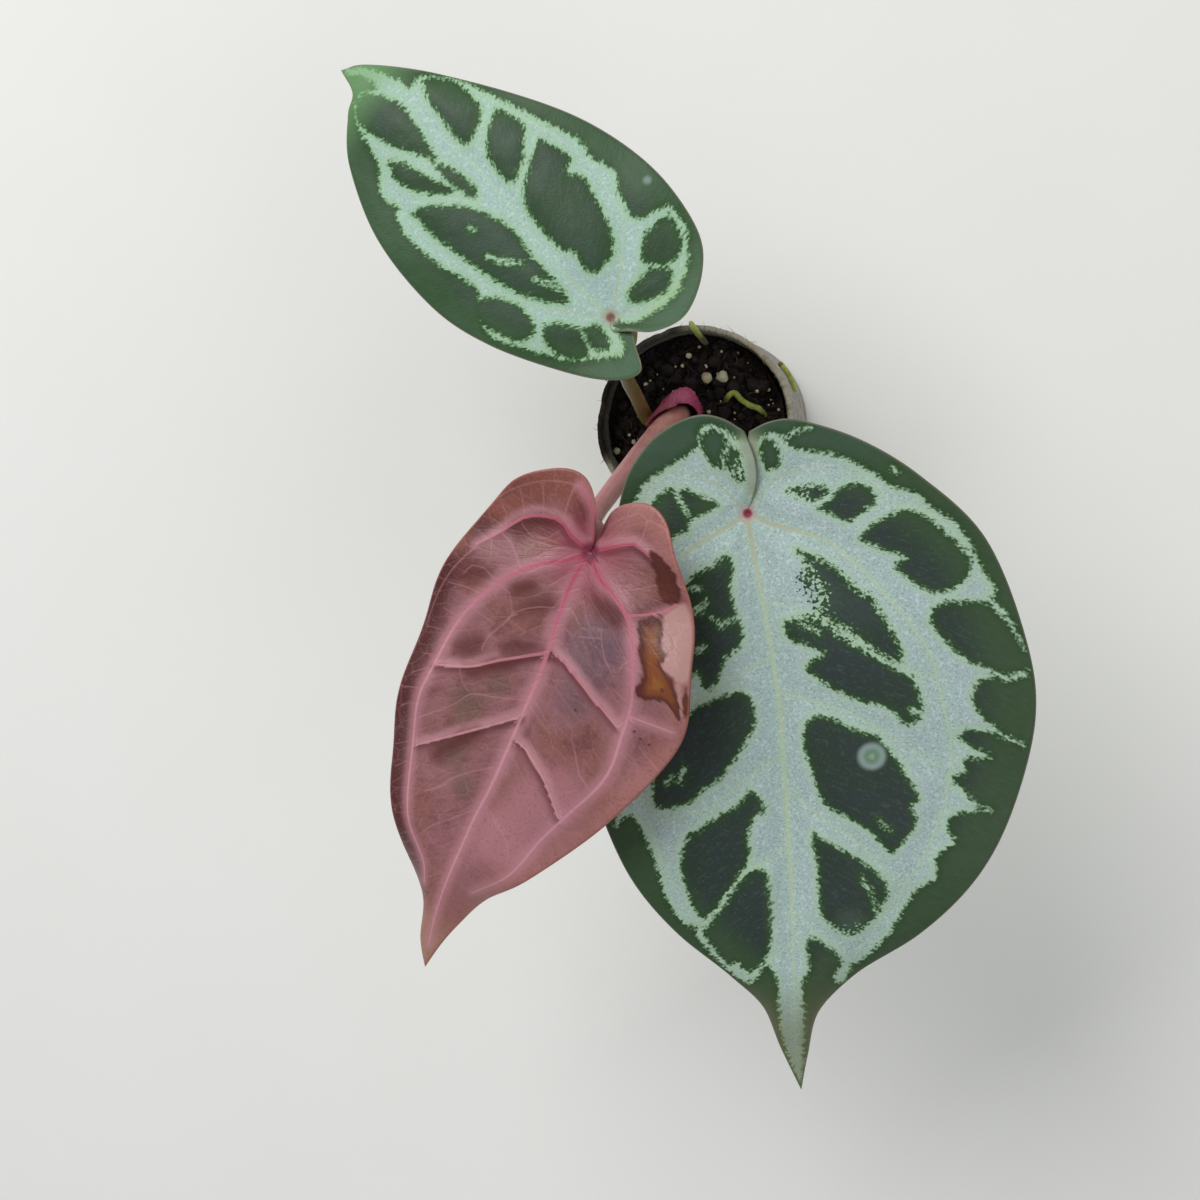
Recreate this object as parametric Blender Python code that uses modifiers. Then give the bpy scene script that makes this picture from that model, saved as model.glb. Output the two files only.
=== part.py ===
"""A young anthurium rooted in a paper growing plug, standing upright.

Three heart-shaped leaves rise on round stalks from a short crown: a small green leaf at the back, a
large green one to the right and a new coppery one to the left. The plug is an open-ended paper tube
filled with peat and perlite. The origin is the middle of the plug's flat underside, with +Z up.
Sizes are in millimetres and are turned to metres where a mesh is made.
"""

import math
import random

import bmesh
import bpy
import numpy as np
from mathutils import Euler, Matrix, Vector

MM = 0.001
GAP = 0.35  # clear space between neighbouring pieces

# The paper plug
SLEEVE_RADIUS = 14.3  # middle of the paper, which makes the plug 30 mm across at its lap
SLEEVE_HEIGHT = 40.0
PAPER = 0.7
LAP_ANGLE = 26.0  # degrees by which the paper's end lies over its start
SEAM_AZIMUTH = -52.0
MEDIUM_TOP = 36.6
MEDIUM_RADIUS = SLEEVE_RADIUS - PAPER / 2 - GAP
CRUMBS = 56  # lumps that stand out of the medium's surface, the perlite among them
CRUMB_RADII = 0.6, 1.3  # smallest and largest

# The crown, and the scale leaf round the newest stalk
CROWN_PLACE = (-2.2, 1.7)
CROWN_RADIUS = 2.1
CROWN_BOTTOM, CROWN_TOP = 31.0, 39.4
SCALE_PLACE = (-2.0, 1.9)
SCALE_RADIUS = 2.95
SCALE_WALL = 0.6
SCALE_BOTTOM, SCALE_TOP = 35.6, 46.8
SCALE_SIDE_TOP = 40.6  # where its two upright edges end
SCALE_BESIDE = 2.5  # how much higher it reaches on the side that follows the stalk
SCALE_FOLLOW = (-0.225, -0.375)  # how far that side leans for each millimetre of height
SCALE_LEAN_START = 42.0
SCALE_SLOPE_FIRST, SCALE_SLOPE_LAST = 2.5, 2.2  # how steeply its top rises from either edge
SCALE_BESIDE_FROM, SCALE_BESIDE_SPAN = 0.55, 0.25  # the share of the way round where that side sets in
SCALE_LEAN, SCALE_LEAN_TOWARDS = 0.9, 50  # how far its back leans out, and in which direction
SCALE_NOD, SCALE_NOD_FROM = 2.2, 0.6  # how far the top of its back hangs forward, and from which level
SCALE_HUG, SCALE_HUG_START, SCALE_HUG_RISE = 0.5, 40, 4  # how closely that side keeps to the stalk
SCALE_FIRST, SCALE_LAST = -28.0, 196.0  # degrees round its own axis

BLADE = 0.6  # thickness of a leaf blade
ROW_SLANT = 0.6  # the side veins lean forward by this much of their run
ROOT_RADIUS = 0.45
ROOT_POINTS = 14

# A leaf's own frame has its origin on the blade where the stalk meets it, +Y to the tip and +Z up
# out of the upper face. "foot" is that origin in the plug's frame, and the angles are in degrees.
# The outlines run from the notch round each side to the tip, and a vein is a list of points.
# "swells" are local rises of the blade: x, y, radius and height.
LEAVES = {
    "small": {
        "foot": (-7.3, 14.9, 74.0), "heading": 138.3, "pitch": 4.0, "roll": 0.0,
        "spine": [(0, 0), (0.7, 10), (2.8, 23.4), (4.0, 38), (2.6, 48), (0, 52.9)],
        "right": [(0.3, -3.0), (2.7, -6.2), (7.3, -7.9), (13.1, -5.5), (16.8, -0.9), (18.8, 8.5),
                  (17.7, 19.7), (13.6, 31.2), (8.0, 42.8), (3.0, 50.4), (0, 52.9)],
        "left": [(-0.3, -5.2), (-2.6, -8.5), (-6.2, -6.1), (-10, 0.2), (-14.2, 10.5), (-15.8, 20.5),
                 (-13.8, 33.0), (-9.0, 43.0), (-4.0, 47.6), (-1.2, 49.2), (0, 52.9)],
        "veins": [
            [(0, 0), (8.4, 4.1), (13.6, 12.6), (15.3, 22.2), (12.8, 30.5), (9.2, 39.8)],
            [(0, 0), (-4.7, 8.9), (-8.2, 18.3), (-8.3, 27.9), (-7.0, 36.0), (-3.7, 46.0)],
            [(0.5, -0.4), (7.8, -3.4), (14.6, -1.0)],
            [(-0.3, -1.0), (-2.8, -3.7), (-7.7, 0.5), (-13.5, 10.6)],
            [(3.6, 21.3), (14.0, 25.8)], [(4.0, 29.3), (10.8, 32.9)],
            [(2.6, 20.0), (-2.6, 28.2), (-7.1, 34.0)],
        ],
        "rows": 28, "columns": 9, "arch": 2.2, "fold": 0.7, "lobe_lift": 0.6, "droop": 2.4,
        "waves": (0.35, 3.5, 0.4), "pucker": 0.45, "swells": [(16.5, 8.2, 4.0, 0.3)],
    },
    "large": {
        "foot": (12.3, -11.7, 80.0), "heading": -85.1, "pitch": 8.0, "roll": 0.0,
        "spine": [(0, 0), (-1.2, 13), (-2.0, 26), (-1.4, 49), (-0.3, 73), (0, 84.4)],
        "right": [(-0.8, -11.4), (1.9, -13.3), (5.0, -14.0), (8.8, -12.9), (12.7, -10.2), (16.3, -4.7),
                  (19.8, 8.0), (23.7, 22.8), (25.3, 35.8), (22.1, 48.5), (15.6, 59.3), (8.4, 66.6),
                  (4.4, 71.0), (2.4, 77.5), (0, 84.4)],
        "left": [(-1.4, -11.3), (-4.4, -12.4), (-8.1, -12.2), (-15.7, -8.9), (-23.1, -3.5), (-30.8, 5.3),
                 (-35.2, 18.9), (-36.0, 30.0), (-32.6, 42.6), (-27.2, 52.3), (-18.5, 61.0),
                 (-9.1, 66.8), (-3.6, 72.2), (-1.4, 79.0), (0, 84.4)],
        "veins": [
            [(0, 0), (9.5, 4.8), (15.0, 18.0), (18.8, 33.2), (15.9, 48.1), (9.7, 64.1)],
            [(0, 0), (-12.5, 5.7), (-21.9, 21.5), (-23.8, 38.4), (-17.1, 51.8), (-7.7, 66.3)],
            [(0.2, -0.7), (7.0, -6.9), (14.8, -3.2)],
            [(-1.2, -1.9), (-10.2, -6.3), (-25.2, 2.6), (-34.6, 18.2)],
            [(-2.0, 24.0), (-21.7, 34.1)], [(-1.8, 38.0), (-16.4, 52.5)], [(-1.2, 55.6), (-10.1, 63.3)],
            [(-1.6, 33.8), (4.2, 35.5), (18.1, 41.3)], [(-1.4, 47.2), (11.1, 57.2)],
            [(-1.6, 22.0), (14.0, 25.0)],
        ],
        "rows": 34, "columns": 12, "arch": 3.2, "fold": 1.0, "lobe_lift": 0.8, "droop": 3.0,
        "waves": (0.5, 4.5, 1.2), "pucker": 0.55, "swells": [],
    },
    "new": {
        "foot": (-8.0, -16.5, 86.0), "heading": -112.7, "pitch": 10.0, "roll": -12.0,
        "spine": [(0, 0), (-0.7, 8), (-0.4, 21), (0.8, 40), (2.2, 53), (1.2, 68.2)],
        "right": [(0.2, -3.4), (1.2, -6.6), (4.4, -9.3), (8.6, -8.4), (13.7, -3.8), (17.8, 5.6),
                  (19.5, 15.4), (19.2, 29.6), (16.7, 42.9), (10.8, 51.8), (5.4, 58.8), (3.2, 64.2),
                  (1.2, 68.2)],
        "left": [(-0.7, -3.4), (-1.6, -7.4), (-5.2, -9.7), (-8.8, -9.0), (-12.0, -5.3), (-18.2, 4.7),
                 (-21.5, 14.3), (-20.4, 23.0), (-16.3, 33.7), (-9.2, 46.4), (-3.8, 53.6),
                 (-1.0, 60.0), (1.2, 68.2)],
        "veins": [
            [(0, 0), (7.2, 5.5), (12.0, 14.0), (14.9, 28.1), (11.8, 45.2), (7.0, 53.0)],
            [(0, 0), (-6.5, 3.9), (-12.9, 14.2), (-14.0, 22.9), (-10.1, 36.2), (-4.1, 50.4)],
            [(0.2, -0.5), (4.9, -2.7), (13.1, 3.1), (16.6, 10.9)],
            [(-0.3, -0.4), (-5.6, -3.8), (-11.9, -1.7), (-15.4, 2.6)],
            [(-0.5, 14.0), (6.4, 19.7), (15.5, 24.4)], [(0.0, 24.6), (5.6, 30.3), (14.3, 36.4)],
            [(-0.5, 14.4), (-13.6, 19.3)], [(0.2, 27.6), (-9.8, 35.6)], [(0.9, 38.0), (-6.0, 45.4)],
        ],
        "rows": 30, "columns": 10, "arch": 2.6, "fold": 1.1, "lobe_lift": 1.4, "droop": 2.6,
        "waves": (0.8, 5.0, 2.6), "pucker": 0.9, "swells": [(-17.5, 9.0, 5.0, 1.4)],
    },
}

# Each stalk's route from its buried end up to its leaf, its radius below and above, and where it
# bends to join the blade, measured in the leaf's own frame from the blade's underside
STALKS = {
    "small": {"route": [(-6.3, 0.2, 33), (-6.8, 0.8, 41), (-6.9, 4.1, 52), (-7.1, 8.0, 62)],
              "radii": (1.15, 0.95), "bend": (0, -2.2, -5.0)},
    "large": {"route": [(1.0, -1.5, 33), (1.4, -1.9, 41), (3.6, -3.8, 52), (7.6, -7.4, 66)],
              "radii": (1.45, 1.15), "bend": (0, -2.2, -5.0)},
    "new": {"route": [(-2.2, 1.6, CROWN_TOP + GAP), (-2.4, 1.2, 44), (-4.2, -1.8, 52), (-6.6, -7.2, 67),
                      (-8.7, -12.2, 78)],
            "radii": (1.8, 1.15), "bend": (1.9, -1.4, -4.2)},
}
STALK_SWELL = 1.25  # the joint under the blade is this much thicker
STALK_POINTS = 16

# Green aerial roots: one crossing the medium, one over the rim, and one along the outside of the plug
ROOTS = {
    "root_on_medium": [(4.4, 3.2, 35.6), (5.0, 4.2, 37.6), (6.1, 4.9, 38.0), (7.3, 3.8, 37.7),
                       (8.7, 2.9, 37.9), (9.9, 2.5, 37.7), (10.9, 1.3, 35.8)],
    "root_over_rim": [(1.5, 12.6, 35.6), (1.2, 13.1, 38.6), (0.5, 14.3, 41.4), (-0.2, 15.4, 40.6),
                      (-0.6, 15.85, 39.3)],
    "root_on_sleeve": [(12.9, 9.6, 37.6), (13.9, 8.4, 37.1), (14.8, 6.7, 35.8), (15.3, 5.2, 33.6)],
}

# Grains of perlite that show on the medium: x, y and radius
PERLITE = [(1.8, 7.2, 1.05), (4.2, 7.4, 1.1), (-1.0, 10.4, 0.6), (-7.7, 6.0, 0.7), (-11.2, -4.0, 0.7),
           (-9.4, -2.6, 0.55), (9.6, 5.4, 0.5), (6.5, 9.6, 0.5), (-5.0, -9.0, 0.6), (5.0, -9.5, 0.7)]


def new_collection(name):
    collection = bpy.data.collections.new(name)
    bpy.context.scene.collection.children.link(collection)
    return collection


def principled(name, color, roughness, metallic=0.0):
    """A plain material with one colour."""
    material = bpy.data.materials.new(name)
    material.use_nodes = True
    shader = material.node_tree.nodes["Principled BSDF"]
    shader.inputs["Base Color"].default_value = (*color, 1)
    shader.inputs["Roughness"].default_value = roughness
    shader.inputs["Metallic"].default_value = metallic
    return material


def link_mesh(name, bm, collection, material=None):
    """Turns a bmesh in millimetres into an object in metres."""
    bmesh.ops.scale(bm, verts=bm.verts, vec=(MM, MM, MM))
    mesh = bpy.data.meshes.new(name)
    bm.to_mesh(mesh)
    bm.free()
    obj = bpy.data.objects.new(name, mesh)
    collection.objects.link(obj)
    if material:
        mesh.materials.append(material)
        mesh.shade_smooth()
    return obj


def smooth_path(points, count):
    """Points spread evenly along a smooth curve through the given ones."""
    steps = 16
    given = np.array(points, float)
    padded = np.vstack([2 * given[0] - given[1], given, 2 * given[-1] - given[-2]])
    fine = []
    for before, start, end, after in zip(padded, padded[1:], padded[2:], padded[3:]):
        for u in np.arange(steps) / steps:
            fine.append(0.5 * (2 * start + (end - before) * u
                               + (2 * before - 5 * start + 4 * end - after) * u ** 2
                               + (3 * start - before - 3 * end + after) * u ** 3))
    fine = np.array(fine + [given[-1]])
    travelled = np.concatenate([[0], np.cumsum(np.linalg.norm(np.diff(fine, axis=0), axis=1))])
    wanted = np.linspace(0, travelled[-1], count)
    return np.column_stack([np.interp(wanted, travelled, column) for column in fine.T])


def ease(value):
    """0 below 0, 1 above 1, and a smooth rise between."""
    value = min(max(value, 0.0), 1.0)
    return value * value * (3 - 2 * value)


def distance_to(path, x, y):
    """The distance from a point to a line of straight runs."""
    nearest = math.inf
    for (ax, ay), (bx, by) in zip(path, path[1:]):
        run_x, run_y = bx - ax, by - ay
        share = ((x - ax) * run_x + (y - ay) * run_y) / max(run_x ** 2 + run_y ** 2, 1e-9)
        share = min(max(share, 0), 1)
        nearest = min(nearest, math.hypot(x - ax - share * run_x, y - ay - share * run_y))
    return nearest


TIP_SHARE = 0.16  # a blade's bow from side to side fades over this share of its length, up to the tip


def leaf_height(leaf, x, y, reach, along):
    """How high the upper face stands. reach runs from 0 on the midrib to 1 on the margin, and along
    from 0 at the notch to 1 at the tip."""
    length = leaf["spine"][-1][1]
    bow = reach ** 2 * ease((1 - y / length) / TIP_SHARE)
    height = leaf["arch"] * ease(y / (0.3 * length) + 0.25) * (0.85 - bow)
    height += leaf["lobe_lift"] * ease(-y / 8) * reach
    height -= leaf["droop"] * max(0.0, (y / length - 0.68) / 0.32) ** 2
    depth, count, start = leaf["waves"]
    height += depth * bow * math.sin(2 * math.pi * count * along + start)
    to_midrib = distance_to(leaf["spine"], x, y)
    height -= leaf["fold"] * math.exp(-(to_midrib / 3.0) ** 2)
    to_vein = min(distance_to(vein, x, y) for vein in leaf["veins"])
    height -= leaf["pucker"] * math.exp(-(to_vein / 2.2) ** 2)
    for swell_x, swell_y, radius, rise in leaf["swells"]:
        height += rise * math.exp(-((x - swell_x) ** 2 + (y - swell_y) ** 2) / radius ** 2)
    return height


def leaf_matrix(leaf):
    """Places a leaf's own frame, in millimetres."""
    turn = Euler((math.radians(-leaf["pitch"]), math.radians(-leaf["roll"]),
                  math.radians(leaf["heading"] - 90)), "YXZ")
    return Matrix.Translation(leaf["foot"]) @ turn.to_matrix().to_4x4()


def make_blade(name, leaf, collection, material):
    """A grid whose rows fan out from the stalk in the lobes and leave the midrib further on."""
    rows, columns = leaf["rows"], leaf["columns"]
    margins = {1: smooth_path(leaf["right"], rows + 1), -1: smooth_path(leaf["left"], rows + 1)}
    spine = smooth_path(leaf["spine"], 60)
    bm = bmesh.new()
    bmesh.ops.create_grid(bm, x_segments=2 * columns, y_segments=rows, size=1)
    for vertex in bm.verts:
        across, along = vertex.co.x, (vertex.co.y + 1) / 2
        reach = abs(across)
        edge_x, edge_y = margins[1 if across >= 0 else -1][round(along * rows)]
        spine_x = np.interp(edge_y, spine[:, 1], spine[:, 0])
        foot_y = max(0.0, edge_y - ROW_SLANT * abs(edge_x - spine_x))
        foot_x = np.interp(foot_y, spine[:, 1], spine[:, 0])
        x = foot_x + (edge_x - foot_x) * reach
        y = foot_y + (edge_y - foot_y) * reach
        if reach < 0.5 / columns and along < 1:
            # The two sides share the midrib, at the mean of their feet.
            other = margins[-1][round(along * rows)]
            other_y = max(0.0, other[1] - ROW_SLANT * abs(other[0] - spine_x))
            y = (foot_y + other_y) / 2
            x = np.interp(y, spine[:, 1], spine[:, 0])
        vertex.co = (x, y, leaf_height(leaf, x, y, reach, along))
    bmesh.ops.remove_doubles(bm, verts=bm.verts, dist=0.01)
    bmesh.ops.triangulate(bm, faces=bm.faces)
    obj = link_mesh(name, bm, collection, material)
    shell = obj.modifiers.new("thickness", "SOLIDIFY")
    shell.thickness = BLADE * MM
    shell.offset = -1
    place = leaf_matrix(leaf)
    obj.rotation_mode = "YXZ"
    obj.rotation_euler = place.to_euler("YXZ")
    obj.location = place.translation * MM
    return obj


def make_tube(name, points, radii, collection, material):
    """A round stalk or root along a smooth line, thicker or thinner as the radii say."""
    curve = bpy.data.curves.new(name, "CURVE")
    curve.dimensions = "3D"
    curve.bevel_depth = MM
    curve.bevel_resolution = 2
    curve.use_fill_caps = True
    spline = curve.splines.new("POLY")
    spline.points.add(len(points) - 1)
    for point, place, radius in zip(spline.points, points, radii):
        point.co = (*(place * MM), 1)
        point.radius = radius
    obj = bpy.data.objects.new(name, curve)
    curve.materials.append(material)
    collection.objects.link(obj)
    return obj


def stalk_line(name, extra=0.0):
    """The points and radii of a stalk, with the radii made larger by extra for a hole around it."""
    leaf, stalk = LEAVES[name], STALKS[name]
    place = leaf_matrix(leaf)
    blade_under = leaf_height(leaf, 0, 0, 0, 0) - BLADE
    end_gap = 2 * GAP  # measured at the middle, because the slanted end stands closer at its edge
    bend = Vector(stalk["bend"]) + Vector((0, 0, blade_under))
    joint = [bend, Vector((0, -0.2, blade_under - end_gap))]
    points = smooth_path(stalk["route"] + [tuple(place @ point) for point in joint], STALK_POINTS)
    low, high = stalk["radii"]
    radii = [low + (high - low) * step / (STALK_POINTS - 1) for step in range(STALK_POINTS)]
    radii[-2] *= STALK_SWELL
    radii[-1] *= STALK_SWELL
    return points, [radius + extra for radius in radii]


def root_line(name, extra=0.0):
    """The points and radii of a root, which narrows to both ends."""
    points = smooth_path(ROOTS[name], ROOT_POINTS)
    share = np.linspace(-1, 1, len(points))
    return points, list(ROOT_RADIUS * (1 - 0.35 * share ** 4) + extra)


def as_cutter(obj, collection):
    """A closed mesh made from a curve object, which it replaces."""
    graph = bpy.context.evaluated_depsgraph_get()
    mesh = bpy.data.meshes.new_from_object(obj.evaluated_get(graph))
    bm = bmesh.new()
    bm.from_mesh(mesh)
    bmesh.ops.remove_doubles(bm, verts=bm.verts, dist=1e-6)
    bmesh.ops.recalc_face_normals(bm, faces=bm.faces)
    bm.to_mesh(mesh)
    bm.free()
    name, place = obj.name, obj.matrix_world.copy()
    bpy.data.objects.remove(obj)
    cutter = bpy.data.objects.new(name, mesh)
    cutter.matrix_world = place
    collection.objects.link(cutter)
    hide_helper(cutter)
    return cutter


def hide_helper(obj):
    obj.hide_render = True
    obj.display_type = "WIRE"


def make_cylinder_cutter(name, place, radius, bottom, top, collection):
    bm = bmesh.new()
    bmesh.ops.create_cone(bm, cap_ends=True, segments=24, radius1=radius, radius2=radius,
                          depth=top - bottom,
                          matrix=Matrix.Translation((*place, (top + bottom) / 2)))
    obj = link_mesh(name, bm, collection)
    hide_helper(obj)
    return obj


def add_boolean(obj, operation, other=None, group=None, solver="EXACT"):
    modifier = obj.modifiers.new(operation.lower(), "BOOLEAN")
    modifier.operation = operation
    modifier.solver = solver
    if group:
        modifier.operand_type = "COLLECTION"
        modifier.collection = group
    else:
        modifier.object = other
    return modifier


def bake(obj):
    """Applies the object's modifiers to its mesh."""
    graph = bpy.context.evaluated_depsgraph_get()
    mesh = bpy.data.meshes.new_from_object(obj.evaluated_get(graph))
    obj.modifiers.clear()
    obj.data = mesh


def make_sleeve(collection, material):
    """A sheet of paper rolled into a tube, its end lapped over its start and its rim uneven."""
    around, rings = 60, 6
    turn = 360 + LAP_ANGLE
    step_out = PAPER + GAP
    lap_rise = 20  # degrees over which the end climbs onto the start
    rng = random.Random(4)
    rim = [rng.uniform(-0.7, 0.7) for _ in range(around + 1)]
    bm = bmesh.new()
    bmesh.ops.create_grid(bm, x_segments=around, y_segments=rings, size=1)
    for vertex in bm.verts:
        share, level = (vertex.co.x + 1) / 2, (vertex.co.y + 1) / 2
        degrees = share * turn
        angle = math.radians(SEAM_AZIMUTH + degrees)
        radius = SLEEVE_RADIUS + step_out * ease((degrees - 360 + lap_rise) / lap_rise)
        radius += 0.22 * math.sin(3 * angle + 0.6) * math.sin(math.pi * level)
        flare = 0.35 + 0.35 * math.cos(angle - 0.5)
        radius += flare * ease((level - 0.8) / 0.2)
        height = SLEEVE_HEIGHT * level
        height += ease((level - 0.7) / 0.3) * (0.6 * math.sin(2 * angle + 1) + rim[round(share * around)])
        vertex.co = (radius * math.cos(angle), radius * math.sin(angle), height)
    bmesh.ops.triangulate(bm, faces=bm.faces)
    obj = link_mesh("paper_sleeve", bm, collection, material)
    wall = obj.modifiers.new("paper", "SOLIDIFY")
    wall.thickness = PAPER * MM
    wall.offset = 0
    return obj


def medium_height(x, y):
    """The peat's uneven surface, a little higher round the crown."""
    height = MEDIUM_TOP + 0.45 * math.sin(0.55 * x + 1.3) * math.cos(0.5 * y)
    height += 0.3 * math.sin(1.1 * x - 0.7 * y) - 0.5 * ease((math.hypot(x, y) - 10) / 4)
    return height + 0.5 * math.exp(-((x + 2) ** 2 + (y - 1) ** 2) / 20)


def make_medium(collection, helpers, material):
    """A bumpy-topped block cut round, with crumbs and grains sunk into its surface."""
    cells, half = 14, SLEEVE_RADIUS + 2
    bm = bmesh.new()
    bmesh.ops.create_grid(bm, x_segments=cells, y_segments=cells, size=half)
    for vertex in bm.verts:
        vertex.co.z = medium_height(vertex.co.x, vertex.co.y)
    raised = bmesh.ops.extrude_face_region(bm, geom=bm.faces[:])
    for element in raised["geom"]:
        if isinstance(element, bmesh.types.BMVert):
            element.co.z = 0
    bmesh.ops.dissolve_limit(bm, angle_limit=0.001, verts=bm.verts, edges=bm.edges)
    bmesh.ops.recalc_face_normals(bm, faces=bm.faces)
    obj = link_mesh("growing_medium", bm, collection, material)
    outside = make_cylinder_cutter("plug_outline", (0, 0), MEDIUM_RADIUS, -1, 60, helpers)
    add_boolean(obj, "INTERSECT", outside)
    bake(obj)

    crumbs = new_collection("crumbs")
    rng = random.Random(11)
    placed = [(x, y, radius, 0.35 * radius) for x, y, radius in PERLITE]
    while len(placed) < CRUMBS:
        radius = rng.uniform(*CRUMB_RADII)
        away = (MEDIUM_RADIUS - 1.2 * radius - 0.2) * math.sqrt(rng.random())
        angle = rng.uniform(0, 2 * math.pi)
        placed.append((away * math.cos(angle), away * math.sin(angle), radius, 0.15 * radius))
    for index, (x, y, radius, proud) in enumerate(placed):
        bm = bmesh.new()
        large_grain = index < len(PERLITE) and radius > 1
        bmesh.ops.create_icosphere(bm, subdivisions=2 if large_grain else 1, radius=radius)
        for vertex in bm.verts:
            vertex.co *= rng.uniform(0.85, 1.2)
        spin = Euler([rng.uniform(0, 6) for _ in range(3)]).to_matrix().to_4x4()
        bmesh.ops.transform(bm, matrix=Matrix.Translation((x, y, medium_height(x, y) + proud)) @ spin,
                            verts=bm.verts)
        hide_helper(link_mesh(f"crumb_{index}", bm, crumbs))
    add_boolean(obj, "UNION", group=crumbs, solver="MANIFOLD")
    bake(obj)
    for crumb in list(crumbs.objects):
        bpy.data.objects.remove(crumb)
    bpy.data.collections.remove(crumbs)
    return obj


def make_crown(collection, material):
    """The short stem that the newest stalk grows from, rounded at its upper edge."""
    bm = bmesh.new()
    bmesh.ops.create_cone(bm, cap_ends=True, segments=20, radius1=CROWN_RADIUS * 0.8, radius2=CROWN_RADIUS,
                          depth=CROWN_TOP - CROWN_BOTTOM,
                          matrix=Matrix.Translation((*CROWN_PLACE, (CROWN_TOP + CROWN_BOTTOM) / 2)))
    top = [edge for edge in bm.edges if all(v.co.z > CROWN_TOP - 0.1 for v in edge.verts)]
    bmesh.ops.bevel(bm, geom=top, offset=0.4, segments=2, profile=0.5, affect="EDGES", material=-1)
    return link_mesh("crown_stem", bm, collection, material)


def make_scale(collection, material):
    """The papery scale leaf: a curved shell, open where the newest stalk leans out of it."""
    around, rings = 22, 8
    bm = bmesh.new()
    bmesh.ops.create_grid(bm, x_segments=around, y_segments=rings, size=1)
    for vertex in bm.verts:
        share, level = (vertex.co.x + 1) / 2, (vertex.co.y + 1) / 2
        angle = math.radians(SCALE_FIRST + (SCALE_LAST - SCALE_FIRST) * share)
        tall = ease(SCALE_SLOPE_FIRST * min(share, SCALE_SLOPE_LAST * (1 - share)))
        beside = ease((share - SCALE_BESIDE_FROM) / SCALE_BESIDE_SPAN)
        top = SCALE_SIDE_TOP + (SCALE_TOP - SCALE_SIDE_TOP + SCALE_BESIDE * beside) * tall
        height = SCALE_BOTTOM + (top - SCALE_BOTTOM) * level
        # The back leans out a little and its tip nods forward over the stalk.
        lean = SCALE_LEAN * tall * ease(level * 1.4) * math.cos(angle - math.radians(SCALE_LEAN_TOWARDS)) ** 2
        nod = SCALE_NOD * (1 - beside) * tall ** 3 * ease((level - SCALE_NOD_FROM) / (1 - SCALE_NOD_FROM))
        hug = SCALE_HUG * beside * ease((height - SCALE_HUG_START) / SCALE_HUG_RISE)
        radius = SCALE_RADIUS + lean - nod - hug
        follow = beside * max(0.0, height - SCALE_LEAN_START)
        vertex.co = (SCALE_PLACE[0] + radius * math.cos(angle) + SCALE_FOLLOW[0] * follow,
                     SCALE_PLACE[1] + radius * math.sin(angle) + SCALE_FOLLOW[1] * follow, height)
    bmesh.ops.triangulate(bm, faces=bm.faces)
    obj = link_mesh("scale_leaf", bm, collection, material)
    shell = obj.modifiers.new("thickness", "SOLIDIFY")
    shell.thickness = SCALE_WALL * MM
    shell.offset = 0
    return obj


def cut_holes(medium, sleeve, helpers):
    """Plain holes in the medium for what stands in it, and room round the roots."""
    clearance = GAP - 0.05
    holes = new_collection("holes")
    holes.hide_render = True
    outer = SCALE_RADIUS + SCALE_WALL / 2 + clearance
    make_cylinder_cutter("scale_hole", SCALE_PLACE, outer, SCALE_BOTTOM - clearance, 50, holes)
    make_cylinder_cutter("crown_hole", CROWN_PLACE, CROWN_RADIUS + clearance, CROWN_BOTTOM - clearance, 50,
                         holes)
    for name in ("small", "large"):
        points, radii = stalk_line(name, clearance)
        points[0][2] -= clearance
        as_cutter(make_tube(f"hole_{name}", points, radii, holes, None), holes)
    for name in ("root_on_medium", "root_over_rim"):
        points, radii = root_line(name, clearance)
        extended = np.vstack([points[0] + (points[0] - points[1]) * 0.3, points,
                              points[-1] + (points[-1] - points[-2]) * 0.3])
        as_cutter(make_tube(f"hole_{name}", extended, [radii[0]] + radii + [radii[-1]], holes, None), holes)
    add_boolean(medium, "DIFFERENCE", group=holes)
    add_boolean(sleeve, "DIFFERENCE", bpy.data.objects["hole_root_over_rim"])


def main():
    for obj in list(bpy.data.objects):
        bpy.data.objects.remove(obj)
    parts = new_collection("potted_anthurium")
    helpers = new_collection("cutters")
    helpers.hide_render = True

    paper = principled("growing_paper", (0.55, 0.49, 0.40), 0.95)
    peat = principled("peat_mix", (0.025, 0.018, 0.014), 0.95)
    stem = principled("crown_stem", (0.30, 0.14, 0.10), 0.6)
    scale = principled("scale_leaf", (0.42, 0.05, 0.13), 0.5)
    root = principled("aerial_root", (0.30, 0.34, 0.06), 0.6)
    green = principled("green_blade", (0.05, 0.12, 0.06), 0.5)
    copper = principled("new_blade", (0.40, 0.14, 0.13), 0.5)
    green_stalk = principled("green_stalk", (0.20, 0.15, 0.06), 0.5)
    new_stalk = principled("new_stalk", (0.52, 0.27, 0.22), 0.5)

    sleeve = make_sleeve(parts, paper)
    medium = make_medium(parts, helpers, peat)
    make_crown(parts, stem)
    make_scale(parts, scale)
    for name, leaf in LEAVES.items():
        stalk_skin, blade_skin = (new_stalk, copper) if name == "new" else (green_stalk, green)
        points, radii = stalk_line(name)
        make_tube(f"stalk_{name}", points, radii, parts, stalk_skin)
        make_blade(f"blade_{name}", leaf, parts, blade_skin)
    for name in ROOTS:
        points, radii = root_line(name)
        make_tube(name, points, radii, parts, root)
    cut_holes(medium, sleeve, helpers)


main()
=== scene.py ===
import math
import random

import bmesh
import bpy
import numpy as np
from mathutils import Euler, Matrix, Vector, noise


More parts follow.
